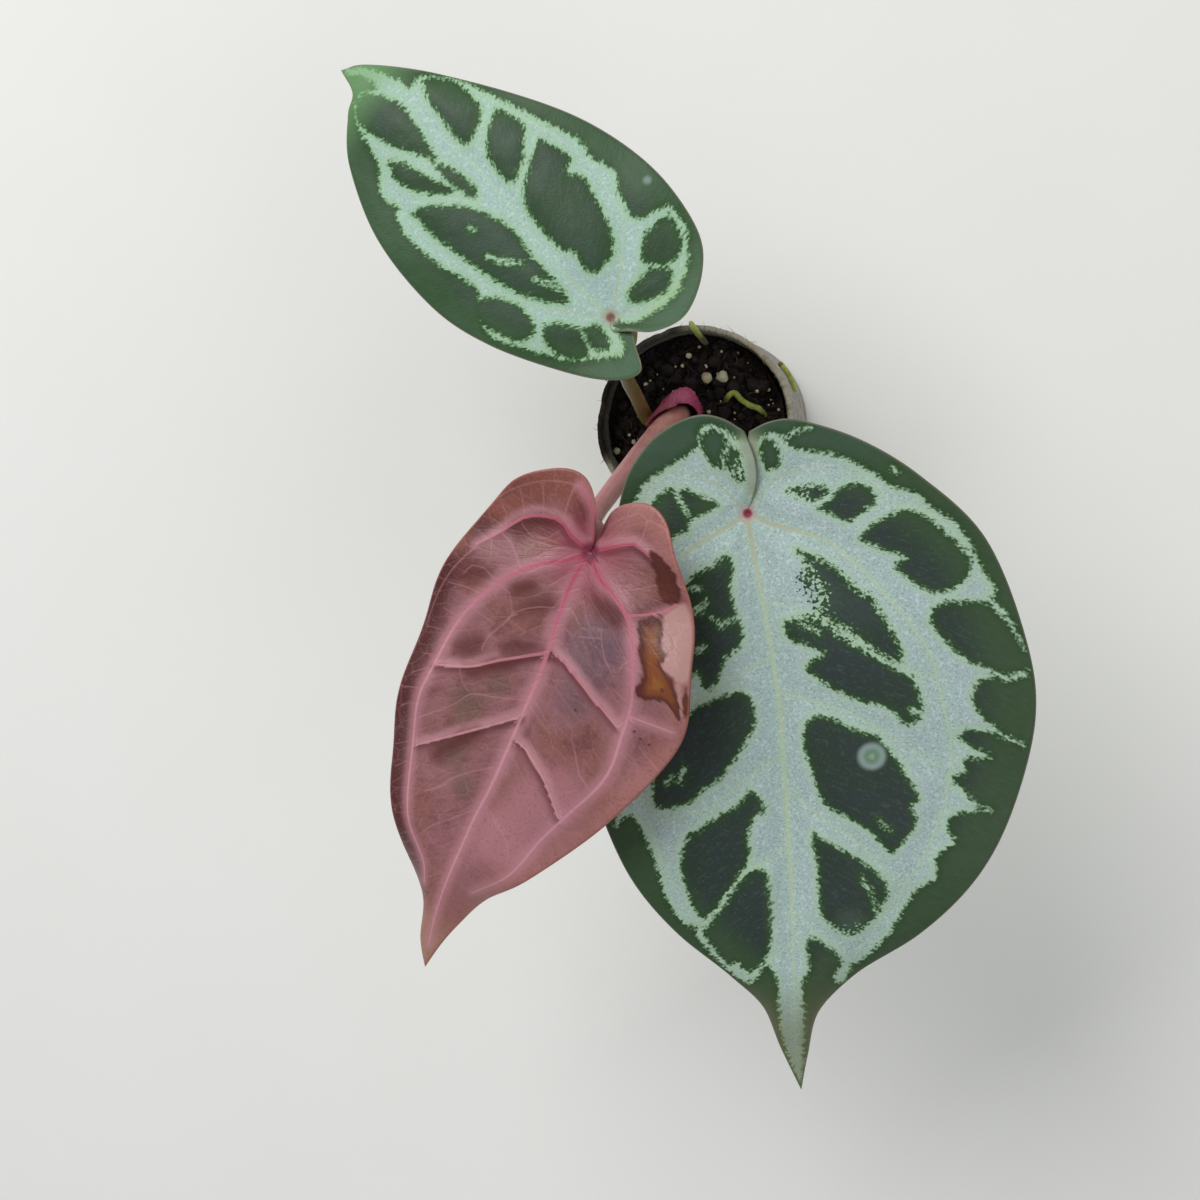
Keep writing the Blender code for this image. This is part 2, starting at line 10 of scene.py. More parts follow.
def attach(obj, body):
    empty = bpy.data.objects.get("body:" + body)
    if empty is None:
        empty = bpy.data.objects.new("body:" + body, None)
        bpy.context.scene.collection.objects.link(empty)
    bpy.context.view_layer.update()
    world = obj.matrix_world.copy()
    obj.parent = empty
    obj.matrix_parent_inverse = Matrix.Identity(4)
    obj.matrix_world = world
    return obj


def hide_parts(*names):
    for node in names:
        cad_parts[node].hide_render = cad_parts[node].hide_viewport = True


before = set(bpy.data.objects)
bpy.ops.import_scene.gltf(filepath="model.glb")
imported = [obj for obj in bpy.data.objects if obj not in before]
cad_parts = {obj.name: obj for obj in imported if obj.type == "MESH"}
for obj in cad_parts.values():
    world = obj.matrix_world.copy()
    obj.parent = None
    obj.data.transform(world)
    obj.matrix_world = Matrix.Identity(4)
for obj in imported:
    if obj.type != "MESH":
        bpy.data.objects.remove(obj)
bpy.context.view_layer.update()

# The viewpoint
# The plug's upright leans a little to the left and down in the picture, so the camera hangs almost
# straight over the plant, some 34 cm above the surface that it stands on. Lengths are in millimetres, but
# the floor, the lamps and the camera's clip distances are in metres.
MM = 0.001
PICTURE_SIDE = 1200
FOCAL_LENGTH = 1950  # in pixels of the picture
FILM = 36.0
CAMERA_PLACE = Vector((37.7, 1.8, 339.2))
LEAN_RIGHT, LEAN_UP = -0.172, -0.094  # how far the plug's upright leans across the picture

upright = Vector((LEAN_RIGHT, LEAN_UP, math.sqrt(1 - LEAN_RIGHT ** 2 - LEAN_UP ** 2)))
rightward = (Vector((1, 0, 0)) - upright.x * upright).normalized()
turn = Matrix((rightward, upright.cross(rightward), upright))
camera = bpy.data.objects.new("camera", bpy.data.cameras.new("camera"))
camera.data.sensor_width = FILM
camera.data.lens = FILM * FOCAL_LENGTH / PICTURE_SIDE
camera.data.clip_start, camera.data.clip_end = 0.01, 20
camera.matrix_world = Matrix.Translation(CAMERA_PLACE * MM) @ turn.to_4x4()
bpy.context.collection.objects.link(camera)
bpy.context.scene.camera = camera
bpy.context.scene.view_settings.view_transform = "Standard"


# The floor and the light
# A plain pale sheet of matt paper under the plant, a large soft lamp behind and to the left of it,
# a weaker one in front, and an even pale surround that opens the shadows.
FLOOR_SIDE = 4.0
FLOOR_PAPER, FLOOR_GRAIN = "#f1f0ec", "#eeede8"
SURROUND, SURROUND_STRENGTH = "#eef2f6", 0.4
LAMPS = [("lamp_behind", (-0.30, 0.42, 0.62), 0.5, 4.3), ("lamp_front", (0.45, -0.35, 0.60), 0.6, 1.2)]
LAMPS_FACE = Vector((0, -0.02, 0.06))


def colour(code):
    """An sRGB hex value as the linear colour that a shader takes."""
    shares = [int(code[at:at + 2], 16) / 255 for at in (1, 3, 5)]
    return (*(s / 12.92 if s <= 0.04045 else ((s + 0.055) / 1.055) ** 2.4 for s in shares), 1)


def add_node(tree, kind, inputs=None, output=0, **settings):
    """Adds a node with its settings, and with a value or a link at each input. Returns an output."""
    made = tree.nodes.new(kind)
    for setting, value in settings.items():
        setattr(made, setting, value)
    for socket, value in (inputs or {}).items():
        if isinstance(value, bpy.types.NodeSocket):
            tree.links.new(value, made.inputs[socket])
        else:
            made.inputs[socket].default_value = colour(value) if isinstance(value, str) else value
    return made.outputs[output]


def new_material(name, **values):
    """A material with a Principled shader of the given plain values. Returns it, its tree and shader."""
    material = bpy.data.materials.new(name)
    material.use_nodes = True
    shader = material.node_tree.nodes["Principled BSDF"]
    for socket, value in values.items():
        shader.inputs[socket.replace("_", " ")].default_value = value
    return material, material.node_tree, shader


def finish_skin(tree, shader, tone, relief, strength, depth):
    """Gives a shader its colour and its fine relief, which is so many millimetres deep."""
    tree.links.new(tone, shader.inputs["Base Color"])
    bump = add_node(tree, "ShaderNodeBump", {"Height": relief, "Strength": strength, "Distance": depth * MM})
    tree.links.new(bump, shader.inputs["Normal"])


floor_bm = bmesh.new()
bmesh.ops.create_grid(floor_bm, x_segments=1, y_segments=1, size=FLOOR_SIDE / 2)
floor_mesh = bpy.data.meshes.new("floor")
floor_bm.to_mesh(floor_mesh)
floor_bm.free()
floor_paper, tree, shader = new_material("matt_floor_paper", Roughness=0.9)
place = add_node(tree, "ShaderNodeTexCoord", output="Object")
grain = add_node(tree, "ShaderNodeTexNoise", {"Vector": place, "Scale": 1 / (25 * MM)})
tone = add_node(tree, "ShaderNodeMix", {0: grain, 6: FLOOR_PAPER, 7: FLOOR_GRAIN}, 2, data_type="RGBA")
tree.links.new(tone, shader.inputs["Base Color"])
floor_mesh.materials.append(floor_paper)
floor = bpy.data.objects.new("floor", floor_mesh)
bpy.context.collection.objects.link(floor)

for name, spot, side, power in LAMPS:
    lamp = bpy.data.lights.new(name, "AREA")
    lamp.size = side
    lamp.energy = power
    lamp_object = bpy.data.objects.new(name, lamp)
    lamp_object.location = spot
    lamp_object.rotation_euler = (LAMPS_FACE - Vector(spot)).to_track_quat("-Z", "Y").to_euler()
    bpy.context.collection.objects.link(lamp_object)

world = bpy.data.worlds.new("surround")
world.use_nodes = True
background = world.node_tree.nodes["Background"]
background.inputs["Color"].default_value = colour(SURROUND)
background.inputs["Strength"].default_value = SURROUND_STRENGTH
bpy.context.scene.world = world


# The paper sleeve
# A sheet of unbleached fibrous growing paper, rolled into an open tube round the peat. Its end is
# lapped over its start, and its rim has gone soft and frayed with damp.
SLEEVE_RADIUS = 14.3  # to the middle of the paper
SLEEVE_HEIGHT = 40.0
SLEEVE_BOW = 0.22  # how far it is out of round at half its height
SLEEVE_CELLS = (420, 90)
PAPER, FRAYED_PAPER = 0.7, 0.8  # its thickness, and the thickness that its loose fibres give it
GAP = 0.35
LAP_ANGLE, LAP_RISE = 26.0, 20.0  # how far the end laps over the start, and the climb up to it, in degrees
SEAM_AZIMUTH = -52.0
RIM_FLARE = 0.35
RIM_COLUMNS = 60  # the rim's slow rise and fall has this many steps
DIP, DIP_AZIMUTH, DIP_WIDTH = 1.3, 88.5, 4.5  # the root over the rim has pressed it down here


def ease(value):
    """0 below 0, 1 above 1, and a smooth rise between."""
    value = np.clip(value, 0.0, 1.0)
    return value * value * (3 - 2 * value)


def rough(points, grain_size, seed=0.0):
    """Smooth noise from -1 to 1 at each point, with swells of about the given size."""
    shift = Vector((seed, 7.3 * seed, 0))
    return np.array([noise.noise(Vector(point) / grain_size + shift) for point in points])


def new_piece(name, bm, *materials):
    """Turns a bmesh in millimetres into an object in metres."""
    bmesh.ops.scale(bm, vec=(MM, MM, MM), verts=bm.verts)
    mesh = bpy.data.meshes.new(name)
    bm.to_mesh(mesh)
    bm.free()
    for material in materials:
        mesh.materials.append(material)
    mesh.shade_smooth()
    piece = bpy.data.objects.new(name, mesh)
    bpy.context.collection.objects.link(piece)
    return piece


def set_places(bm, places):
    for vertex, spot in zip(bm.verts, places):
        vertex.co = spot


def lay_coats(tree, tone, coats):
    """Lays coats of colour over a first one. Each goes on where its source passes from the first value
    to the second, up to the given amount."""
    for source, low, high, amount, coat in coats:
        mask = add_node(tree, "ShaderNodeMapRange", {0: source, 1: low, 2: high, 4: amount},
                        interpolation_type="SMOOTHSTEP")
        tone = add_node(tree, "ShaderNodeMix", {0: mask, 6: tone, 7: coat}, 2, data_type="RGBA")
    return tone


def sleeve_point(share, level, rim):
    """A point on the middle of the paper: share runs along the rolled sheet, level up it."""
    degrees = share * (360 + LAP_ANGLE)
    angle = np.radians(SEAM_AZIMUTH + degrees)
    radius = SLEEVE_RADIUS + (PAPER + GAP) * ease((degrees - (360 - LAP_RISE)) / LAP_RISE)
    radius = radius + SLEEVE_BOW * np.sin(3 * angle + 0.6) * np.sin(np.pi * level)
    radius = radius + (RIM_FLARE + RIM_FLARE * np.cos(angle - 0.5)) * ease((level - 0.8) / 0.2)
    steps = np.interp(share * RIM_COLUMNS, np.arange(RIM_COLUMNS + 1), rim)
    height = SLEEVE_HEIGHT * level + ease((level - 0.7) / 0.3) * (0.6 * np.sin(2 * angle + 1) + steps)
    return np.column_stack([radius * np.cos(angle), radius * np.sin(angle), height])


rng = random.Random(4)
rim_steps = [rng.uniform(-0.7, 0.7) for _ in range(RIM_COLUMNS + 1)]
bm = bmesh.new()
bmesh.ops.create_grid(bm, x_segments=SLEEVE_CELLS[0], y_segments=SLEEVE_CELLS[1], size=1)
flat = np.array([vertex.co for vertex in bm.verts])
share, level = (flat[:, 0] + 1) / 2, (flat[:, 1] + 1) / 2
places = sleeve_point(share, level, rim_steps)
crease = rough(places * (1, 1, 0.5), 6.0, 1.0) * 0.22 + rough(places, 1.6, 2.0) * 0.12
outward = places * (1, 1, 0) / np.hypot(places[:, 0], places[:, 1])[:, None]
places += outward * (crease * ease(level * 8))[:, None]
ragged = rough(places * (1, 1, 0), 0.9, 3.0) * 0.7 + rough(places * (1, 1, 0), 0.35, 4.0) * 0.45
angle = np.degrees(np.arctan2(places[:, 1], places[:, 0]))
root_dip = -DIP * np.exp(-((angle - DIP_AZIMUTH) / DIP_WIDTH) ** 2)
places[:, 2] += ease((level - 0.88) / 0.12) * (ragged * 0.6 + root_dip)
set_places(bm, places)

growing_paper, tree, shader = new_material("damp_growing_paper", Roughness=0.95, Specular_IOR_Level=0.25)
# Long-fibred unbleached paper: beige with darker fibres, stained brown by the peat and greened by algae.
place = add_node(tree, "ShaderNodeTexCoord", output="Object")
height = add_node(tree, "ShaderNodeSeparateXYZ", {0: place}, output=2)
stretched = add_node(tree, "ShaderNodeMapping", {"Vector": place, "Scale": (1, 1, 0.35)})
fibres = add_node(tree, "ShaderNodeTexNoise", {"Vector": stretched, "Scale": 1 / (0.5 * MM), "Detail": 5.0,
                                              "Distortion": 1.2})
blotches = add_node(tree, "ShaderNodeTexNoise", {"Vector": place, "Scale": 1 / (6 * MM), "Detail": 4.0})
algae = add_node(tree, "ShaderNodeTexNoise", {"Vector": place, "Scale": 1 / (11 * MM), "Detail": 3.0})
near_rim = add_node(tree, "ShaderNodeMapRange", {0: height, 1: 34 * MM, 2: 40.5 * MM})
soiled_side = add_node(tree, "ShaderNodeVectorMath", {0: place, 1: (-0.87, 0.5, 0)}, 1,
                       operation="DOT_PRODUCT")
tone = lay_coats(tree, "#97928a", [
    (fibres, 0.40, 0.62, 0.75, "#b9b5ae"), (fibres, 0.62, 0.74, 0.6, "#6f665c"),
    (blotches, 0.50, 0.68, 0.7, "#7b6a58"), (algae, 0.52, 0.70, 0.55, "#88918c"),
    (near_rim, 0.6, 1.0, 0.6, "#d0c3ab"), (soiled_side, 7.0 * MM, 10.0 * MM, near_rim, "#2b2320")])
finish_skin(tree, shader, tone, fibres, 0.9, 0.25)

sleeve = new_piece("paper_sleeve_rolled", bm, growing_paper)
wall = sleeve.modifiers.new("paper", "SOLIDIFY")
wall.thickness = FRAYED_PAPER * MM
wall.offset = 0
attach(sleeve, "root")
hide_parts("paper_sleeve")


# Loose fibres of the rim
# Short strands that the wet paper has shed along its upper edge. Each is a fine tapered hair rooted
# in the rim, and they lie outwards, inwards and along it.
RIM_FIBRES = 210
FIBRE_LENGTHS, FIBRE_RADII = (0.8, 1.9), (0.035, 0.07)


def smooth_path(points, count):
    """Points spread evenly along a smooth curve through the given ones."""
    given = np.array(points, float)
    padded = np.vstack([2 * given[0] - given[1], given, 2 * given[-1] - given[-2]])
    share = np.linspace(0, 1, 16, endpoint=False)[:, None]
    runs = []
    for before, start, end, after in zip(padded, padded[1:], padded[2:], padded[3:]):
        runs.append(0.5 * (2 * start + (end - before) * share
                           + (2 * before - 5 * start + 4 * end - after) * share ** 2
                           + (3 * start - before - 3 * end + after) * share ** 3))
    fine = np.vstack(runs + [given[-1:]])
    travelled = np.concatenate([[0], np.cumsum(np.linalg.norm(np.diff(fine, axis=0), axis=1))])
    wanted = np.linspace(0, travelled[-1], count)
    return np.column_stack([np.interp(wanted, travelled, column) for column in fine.T])


def add_tube(bm, line, radii, sides):
    """A tube along a line, closed where its radius falls to nothing. Returns its vertices, with how far
    along the line and how far round the tube each one lies."""
    line, radii = np.array(line, float), np.array(radii, float)
    grid = bmesh.ops.create_grid(bm, x_segments=sides, y_segments=len(line) - 1, size=1)["verts"]
    ahead = np.gradient(line, axis=0)
    ahead /= np.linalg.norm(ahead, axis=1)[:, None]
    across = np.cross(ahead[0], (0.31, 0.87, 0.39))
    frames = []
    for direction in ahead:
        across = across - direction * (across @ direction)
        across /= np.linalg.norm(across)
        frames.append((across, np.cross(direction, across)))
    laid = []
    for vertex in grid:
        ring = round((vertex.co.y + 1) / 2 * (len(line) - 1))
        angle = (vertex.co.x + 1) * math.pi
        first, second = frames[ring]
        vertex.co = line[ring] + radii[ring] * (math.cos(angle) * first + math.sin(angle) * second)
        laid.append((vertex, ring / (len(line) - 1), angle))
    return laid


def close_seams(bm):
    bmesh.ops.remove_doubles(bm, verts=bm.verts, dist=1e-4)
    bmesh.ops.recalc_face_normals(bm, faces=bm.faces)


rng = random.Random(9)
bm = bmesh.new()
for _ in range(RIM_FIBRES):
    share = rng.random()
    root = sleeve_point(np.array([share]), np.array([1.0]), rim_steps)[0] - (0, 0, 0.7)
    outward = np.array([root[0], root[1], 0]) / math.hypot(root[0], root[1])
    along = np.array([-outward[1], outward[0], 0])
    heading = outward * rng.uniform(-0.7, 0.9) + along * rng.uniform(-1, 1) + (0, 0, rng.uniform(0.3, 1.1))
    length = rng.uniform(*FIBRE_LENGTHS)
    bend = along * rng.uniform(-0.6, 0.6) - (0, 0, rng.uniform(0, 0.5))
    tip = root + heading * length + bend * length * 0.5
    line = smooth_path([root, root + heading * length * 0.5, tip], 4)
    add_tube(bm, line, np.array([1.0, 0.9, 0.6, 0.0]) * rng.uniform(*FIBRE_RADII), 3)
close_seams(bm)
fibres = new_piece("rim_fibres", bm, growing_paper)
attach(fibres, "root")


# The growing medium
# Dark damp peat pressed into the sleeve. Its open top is a crumbly, uneven bed a few millimetres below
# the rim, a little higher round the crown, and its underside is cut off flat with the paper.
MEDIUM_TOP = 36.6
MEDIUM_RADIUS = SLEEVE_RADIUS - PAPER / 2 - GAP
BED_RADIUS = 1.012 * MEDIUM_RADIUS  # the damp bed is pressed a little into the paper
PEAT_CELLS = 150
LUMPS_SUNK = 0.75  # the lumps start this far below the slow rise and fall


def medium_height(x, y):
    """The peat's slow rise and fall."""
    height = MEDIUM_TOP + 0.45 * np.sin(0.55 * x + 1.3) * np.cos(0.5 * y)
    height = height + 0.3 * np.sin(1.1 * x - 0.7 * y) - 0.5 * ease((np.hypot(x, y) - 10) / 4)
    return height + 0.5 * np.exp(-((x + 2) ** 2 + (y - 1) ** 2) / 20)


bm = bmesh.new()
bmesh.ops.create_grid(bm, x_segments=PEAT_CELLS, y_segments=PEAT_CELLS, size=1)
square = np.array([vertex.co for vertex in bm.verts])
# A square sheet is rounded into a disc without a pole.
u, v = square[:, 0], square[:, 1]
x = BED_RADIUS * u * np.sqrt(1 - v * v / 2)
y = BED_RADIUS * v * np.sqrt(1 - u * u / 2)
spots = np.column_stack([x, y, np.zeros(len(x))])
lumps = np.abs(rough(spots, 2.2, 5.0)) * 1.3 + np.abs(rough(spots, 1.0, 6.0)) * 0.7
lumps += rough(spots, 0.4, 7.0) * 0.22
set_places(bm, np.column_stack([x, y, medium_height(x, y) + lumps - LUMPS_SUNK]))
rim_edges = [edge for edge in bm.edges if edge.is_boundary]
skirt = bmesh.ops.extrude_edge_only(bm, edges=rim_edges)["geom"]
for vertex in skirt:
    if isinstance(vertex, bmesh.types.BMVert):
        vertex.co.z = 0.0
bmesh.ops.holes_fill(bm, edges=[edge for edge in bm.edges if edge.is_boundary], sides=0)
bmesh.ops.recalc_face_normals(bm, faces=bm.faces)

damp_peat, tree, shader = new_material("damp_black_peat", Roughness=0.92, Specular_IOR_Level=0.3)
# Decomposed moss peat: almost black with brown and faintly purple crumbs, rough, with damp glints.
place = add_node(tree, "ShaderNodeTexCoord", output="Object")
crumbs = add_node(tree, "ShaderNodeTexNoise", {"Vector": place, "Scale": 1 / (1.3 * MM), "Detail": 6.0,
                                              "Roughness": 0.7})
tints = add_node(tree, "ShaderNodeTexNoise", {"Vector": place, "Scale": 1 / (3.0 * MM), "Detail": 2.0})
dust = add_node(tree, "ShaderNodeTexVoronoi", {"Vector": place, "Scale": 1 / (0.8 * MM)})
tone = lay_coats(tree, "#241c1b", [
    (crumbs, 0.48, 0.72, 0.8, "#3a2d29"), (tints, 0.53, 0.68, 0.6, "#37252d"),
    (tints, 0.42, 0.34, 0.5, "#0d0a0b"), (dust, 0.2, 0.05, 0.45, "#6a5c52")])
damp = add_node(tree, "ShaderNodeMapRange", {0: crumbs, 1: 0.3, 2: 0.7, 3: 0.72, 4: 1.0})
tree.links.new(damp, shader.inputs["Roughness"])
finish_skin(tree, shader, tone, crumbs, 1.0, 0.4)

medium = new_piece("peat_bed", bm, damp_peat)
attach(medium, "root")
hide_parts("growing_medium")


# Crumbs of peat
# Loose lumps and grains that sit in the surface of the bed, from dust up to pieces the size of a
# peppercorn, pressed in by watering.
LARGE_CRUMBS, SMALL_CRUMBS = 120, 430
LARGE_RADII, SMALL_RADII = (0.5, 1.15), (0.16, 0.42)


def surface_height(x, y):
    return float(medium_height(x, y))


def add_lump(bm, rng, centre, radius, fineness, squash=1.0):
    """An irregular rounded grain."""
    grain = bmesh.ops.create_icosphere(bm, subdivisions=fineness, radius=radius)["verts"]
    for vertex in grain:
        vertex.co *= rng.uniform(0.78, 1.22)
        vertex.co.z *= squash
    spin = Euler([rng.uniform(0, 6) for _ in range(3)]).to_matrix().to_4x4()
    bmesh.ops.transform(bm, matrix=Matrix.Translation(centre) @ spin, verts=grain)
    return grain


def random_spot(rng, margin):
    away, angle = (MEDIUM_RADIUS - margin) * math.sqrt(rng.random()), rng.uniform(0, 2 * math.pi)
    return away * math.cos(angle), away * math.sin(angle)


rng = random.Random(21)
bm = bmesh.new()
for index in range(LARGE_CRUMBS + SMALL_CRUMBS):
    large = index < LARGE_CRUMBS
    radius = rng.uniform(*(LARGE_RADII if large else SMALL_RADII))
    x, y = random_spot(rng, radius + 0.2)
    add_lump(bm, rng, (x, y, surface_height(x, y) + 0.1 * radius), radius, 2 if large else 1)
bmesh.ops.recalc_face_normals(bm, faces=bm.faces)
crumbs = new_piece("peat_crumbs", bm, damp_peat)
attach(crumbs, "root")


# Fibres of moss in the peat
# Short brown stems and hairs of half-rotted moss that lie across the bed. A stem that would reach the
# paper is left out.
MOSS_STEMS = 90
STEM_LENGTHS, STEM_RADII = (0.8, 3.0), (0.05, 0.12)

rng = random.Random(33)
bm = bmesh.new()
for _ in range(MOSS_STEMS):
    x, y = random_spot(rng, 1.6)
    heading, length = rng.uniform(0, 2 * math.pi), rng.uniform(*STEM_LENGTHS)
    curl = rng.uniform(-0.7, 0.7)
    line = []
    for step in (-0.5, 0.0, 0.5):
        far = step * length
        spot_x = x + far * math.cos(heading + curl * step)
        spot_y = y + far * math.sin(heading + curl * step)
        if math.hypot(spot_x, spot_y) > MEDIUM_RADIUS - 0.3:
            break
        line.append((spot_x, spot_y, surface_height(spot_x, spot_y) + 0.35 + 0.15 * (1 - abs(step) * 2)))
    if len(line) == 3:
        add_tube(bm, smooth_path(line, 6), np.array([0, 0.8, 1, 1, 0.8, 0]) * rng.uniform(*STEM_RADII), 5)
close_seams(bm)
moss_stems, tree, shader = new_material("rotted_moss_stem", Roughness=0.85)
place = add_node(tree, "ShaderNodeTexCoord", output="Object")
streaks = add_node(tree, "ShaderNodeTexNoise", {"Vector": place, "Scale": 1 / (1.1 * MM), "Detail": 3.0})
tone = add_node(tree, "ShaderNodeMix", {0: streaks, 6: "#1d1310", 7: "#5a4233"}, 2, data_type="RGBA")
finish_skin(tree, shader, tone, streaks, 0.6, 0.1)
stems = new_piece("moss_fibres", bm, moss_stems)
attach(stems, "root")


# Grains of perlite
# White expanded volcanic glass mixed through the peat. Two cream grains lie side by side behind the
# green root, and smaller ones are scattered over the bed.
PERLITE = [
    (1.8, 7.2, 0.95), (4.2, 7.4, 1.0), (-1.1, 10.7, 0.5), (-2.1, 9.1, 0.3), (-7.7, 6.0, 0.6),
    (-12.4, -4.1, 0.62), (-9.7, -2.7, 0.45), (-10.3, -1.6, 0.25), (9.6, 5.2, 0.3), (11.3, 5.4, 0.3),
    (3.9, 11.2, 0.3), (0.5, 12.0, 0.25), (6.4, 11.0, 0.25), (12.9, 2.3, 0.25), (2.1, 2.0, 0.35),
    (-5.0, -9.0, 0.6), (5.0, -9.5, 0.7),
]
SPARE_GRAINS = 60
GRAIN_LIFT, GRAIN_SHARE = 0.35, 0.35  # above the slow rise and fall: a distance, and a share of its radius
PITTED_FROM = 0.3  # the radius above which a grain is large enough to show its pits

rng = random.Random(57)
bm = bmesh.new()
placed = PERLITE + [(*random_spot(rng, 1.0), rng.uniform(0.08, 0.2)) for _ in range(SPARE_GRAINS)]
for x, y, radius in placed:
    seat = surface_height(x, y) + GRAIN_LIFT
    grain = add_lump(bm, rng, (x, y, seat + GRAIN_SHARE * radius), radius, 2)
    if radius > PITTED_FROM:
        for vertex in grain:
            pits = noise.noise(vertex.co / 0.42) * 0.16 + noise.noise(vertex.co / 1.1) * 0.3
            vertex.co += (vertex.co - Vector((x, y, seat))).normalized() * pits * radius
        bmesh.ops.smooth_vert(bm, verts=grain, factor=0.4, use_axis_x=True, use_axis_y=True,
                              use_axis_z=True)
bmesh.ops.recalc_face_normals(bm, faces=bm.faces)
perlite, tree, shader = new_material("expanded_perlite", Roughness=0.9, Specular_IOR_Level=0.3,
                                     Subsurface_Weight=0.15, Subsurface_Scale=0.0004)
# Foamed glass: chalky white that soaks up a cream and grey tint from the peat, full of fine pores.
place = add_node(tree, "ShaderNodeTexCoord", output="Object")
pores = add_node(tree, "ShaderNodeTexVoronoi", {"Vector": place, "Scale": 1 / (0.28 * MM)})
stain = add_node(tree, "ShaderNodeTexNoise", {"Vector": place, "Scale": 1 / (1.4 * MM), "Detail": 4.0})
tone = lay_coats(tree, "#cfc4a8", [
    (stain, 0.5, 0.68, 0.7, "#a69a80"), (stain, 0.45, 0.3, 0.5, "#eae6da"),
    (pores, 0.12, 0.0, 0.5, "#6f6453")])
finish_skin(tree, shader, tone, pores, 0.5, 0.1)
grains = new_piece("perlite_grains", bm, perlite)
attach(grains, "root")


# The crown
# The short ringed stem that all the leaves come from. Most of it is buried, and only its top shows
# inside the scale leaf. Each ring is the scar of a leaf that has dropped.
CROWN_PLACE = (-2.2, 1.7)
CROWN_RADIUS = 2.1
CROWN_BOTTOM, CROWN_TOP = 31.0, 39.4
CROWN_RINGS = 5
CROWN_ROWS, CROWN_SIDES = 44, 40

bm = bmesh.new()
levels = np.linspace(0, 1, CROWN_ROWS)
girth = CROWN_RADIUS * (0.82 + 0.12 * levels + 0.05 * np.sin(2 * np.pi * CROWN_RINGS * levels))
girth *= np.sqrt(np.clip(1 - ((levels - 0.5) * 2) ** 10, 0, 1))
profile = [bm.verts.new((radius, 0, CROWN_BOTTOM + (CROWN_TOP - CROWN_BOTTOM) * up))
           for radius, up in zip(girth, levels)]
edges = [bm.edges.new(pair) for pair in zip(profile, profile[1:])]
bmesh.ops.spin(bm, geom=profile + edges, cent=(0, 0, 0), axis=(0, 0, 1), angle=2 * math.pi,
               steps=CROWN_SIDES, use_merge=True)
bmesh.ops.translate(bm, vec=(*CROWN_PLACE, 0), verts=bm.verts)
close_seams(bm)
crown_bark, tree, shader = new_material("scarred_crown_stem", Roughness=0.6)
# Corky skin: reddish brown in paler and darker bands round the stem, mottled darker still.
place = add_node(tree, "ShaderNodeTexCoord", output="Object")
rings = add_node(tree, "ShaderNodeTexWave", {"Vector": place, "Scale": 1 / (6.5 * MM), "Distortion": 3.0},
                 1, bands_direction="Z")
mottle = add_node(tree, "ShaderNodeTexNoise", {"Vector": place, "Scale": 1 / (0.9 * MM), "Detail": 4.0})
tone = add_node(tree, "ShaderNodeMix", {0: rings, 6: "#6a3a2a", 7: "#8a5a3c"}, 2, data_type="RGBA")
tone = add_node(tree, "ShaderNodeMix", {0: mottle, 6: tone, 7: "#4a2a20"}, 2, data_type="RGBA")
finish_skin(tree, shader, tone, mottle, 0.5, 0.1)
crown = new_piece("crown_ringed", bm, crown_bark)
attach(crown, "root")
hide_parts("crown_stem")


# The scale leaf
# A thin waxy sheath that wrapped the newest leaf in bud. It now stands round the foot of that stalk as
# a torn magenta hood, open at the front where the stalk leans out, and its taller side follows the stalk.
SCALE_PLACE = (-2.0, 1.9)
SCALE_RADIUS = 2.95
SCALE_BOTTOM, SCALE_TOP = 35.6, 46.8
SCALE_LOW = 40.6  # the height of its two front edges
SCALE_FIRST, SCALE_LAST = -28.0, 196.0  # degrees round its own axis
SCALE_CELLS = (110, 70)
SCALE_WALL = 0.4
SCALE_SLOPE_FIRST, SCALE_SLOPE_LAST = 2.5, 2.2  # how steeply its top rises from either edge
SCALE_BESIDE_FROM, SCALE_BESIDE_SPAN = 0.55, 0.25  # the share of the way round where its taller side starts
SCALE_BESIDE_RISE = 2.5
SCALE_LEAN, SCALE_LEAN_TOWARDS = 0.9, 50  # how far its back leans out, and in which direction
SCALE_NOD, SCALE_NOD_FROM = 2.2, 0.6  # how far the top of its back hangs forward, and from which level
SCALE_HUG, SCALE_HUG_START, SCALE_HUG_RISE = 0.5, 40, 4  # how closely the taller side keeps to the stalk
SCALE_FOLLOW_START, SCALE_FOLLOW = 42, (-0.225, -0.375)  # and how it leans with it above this height

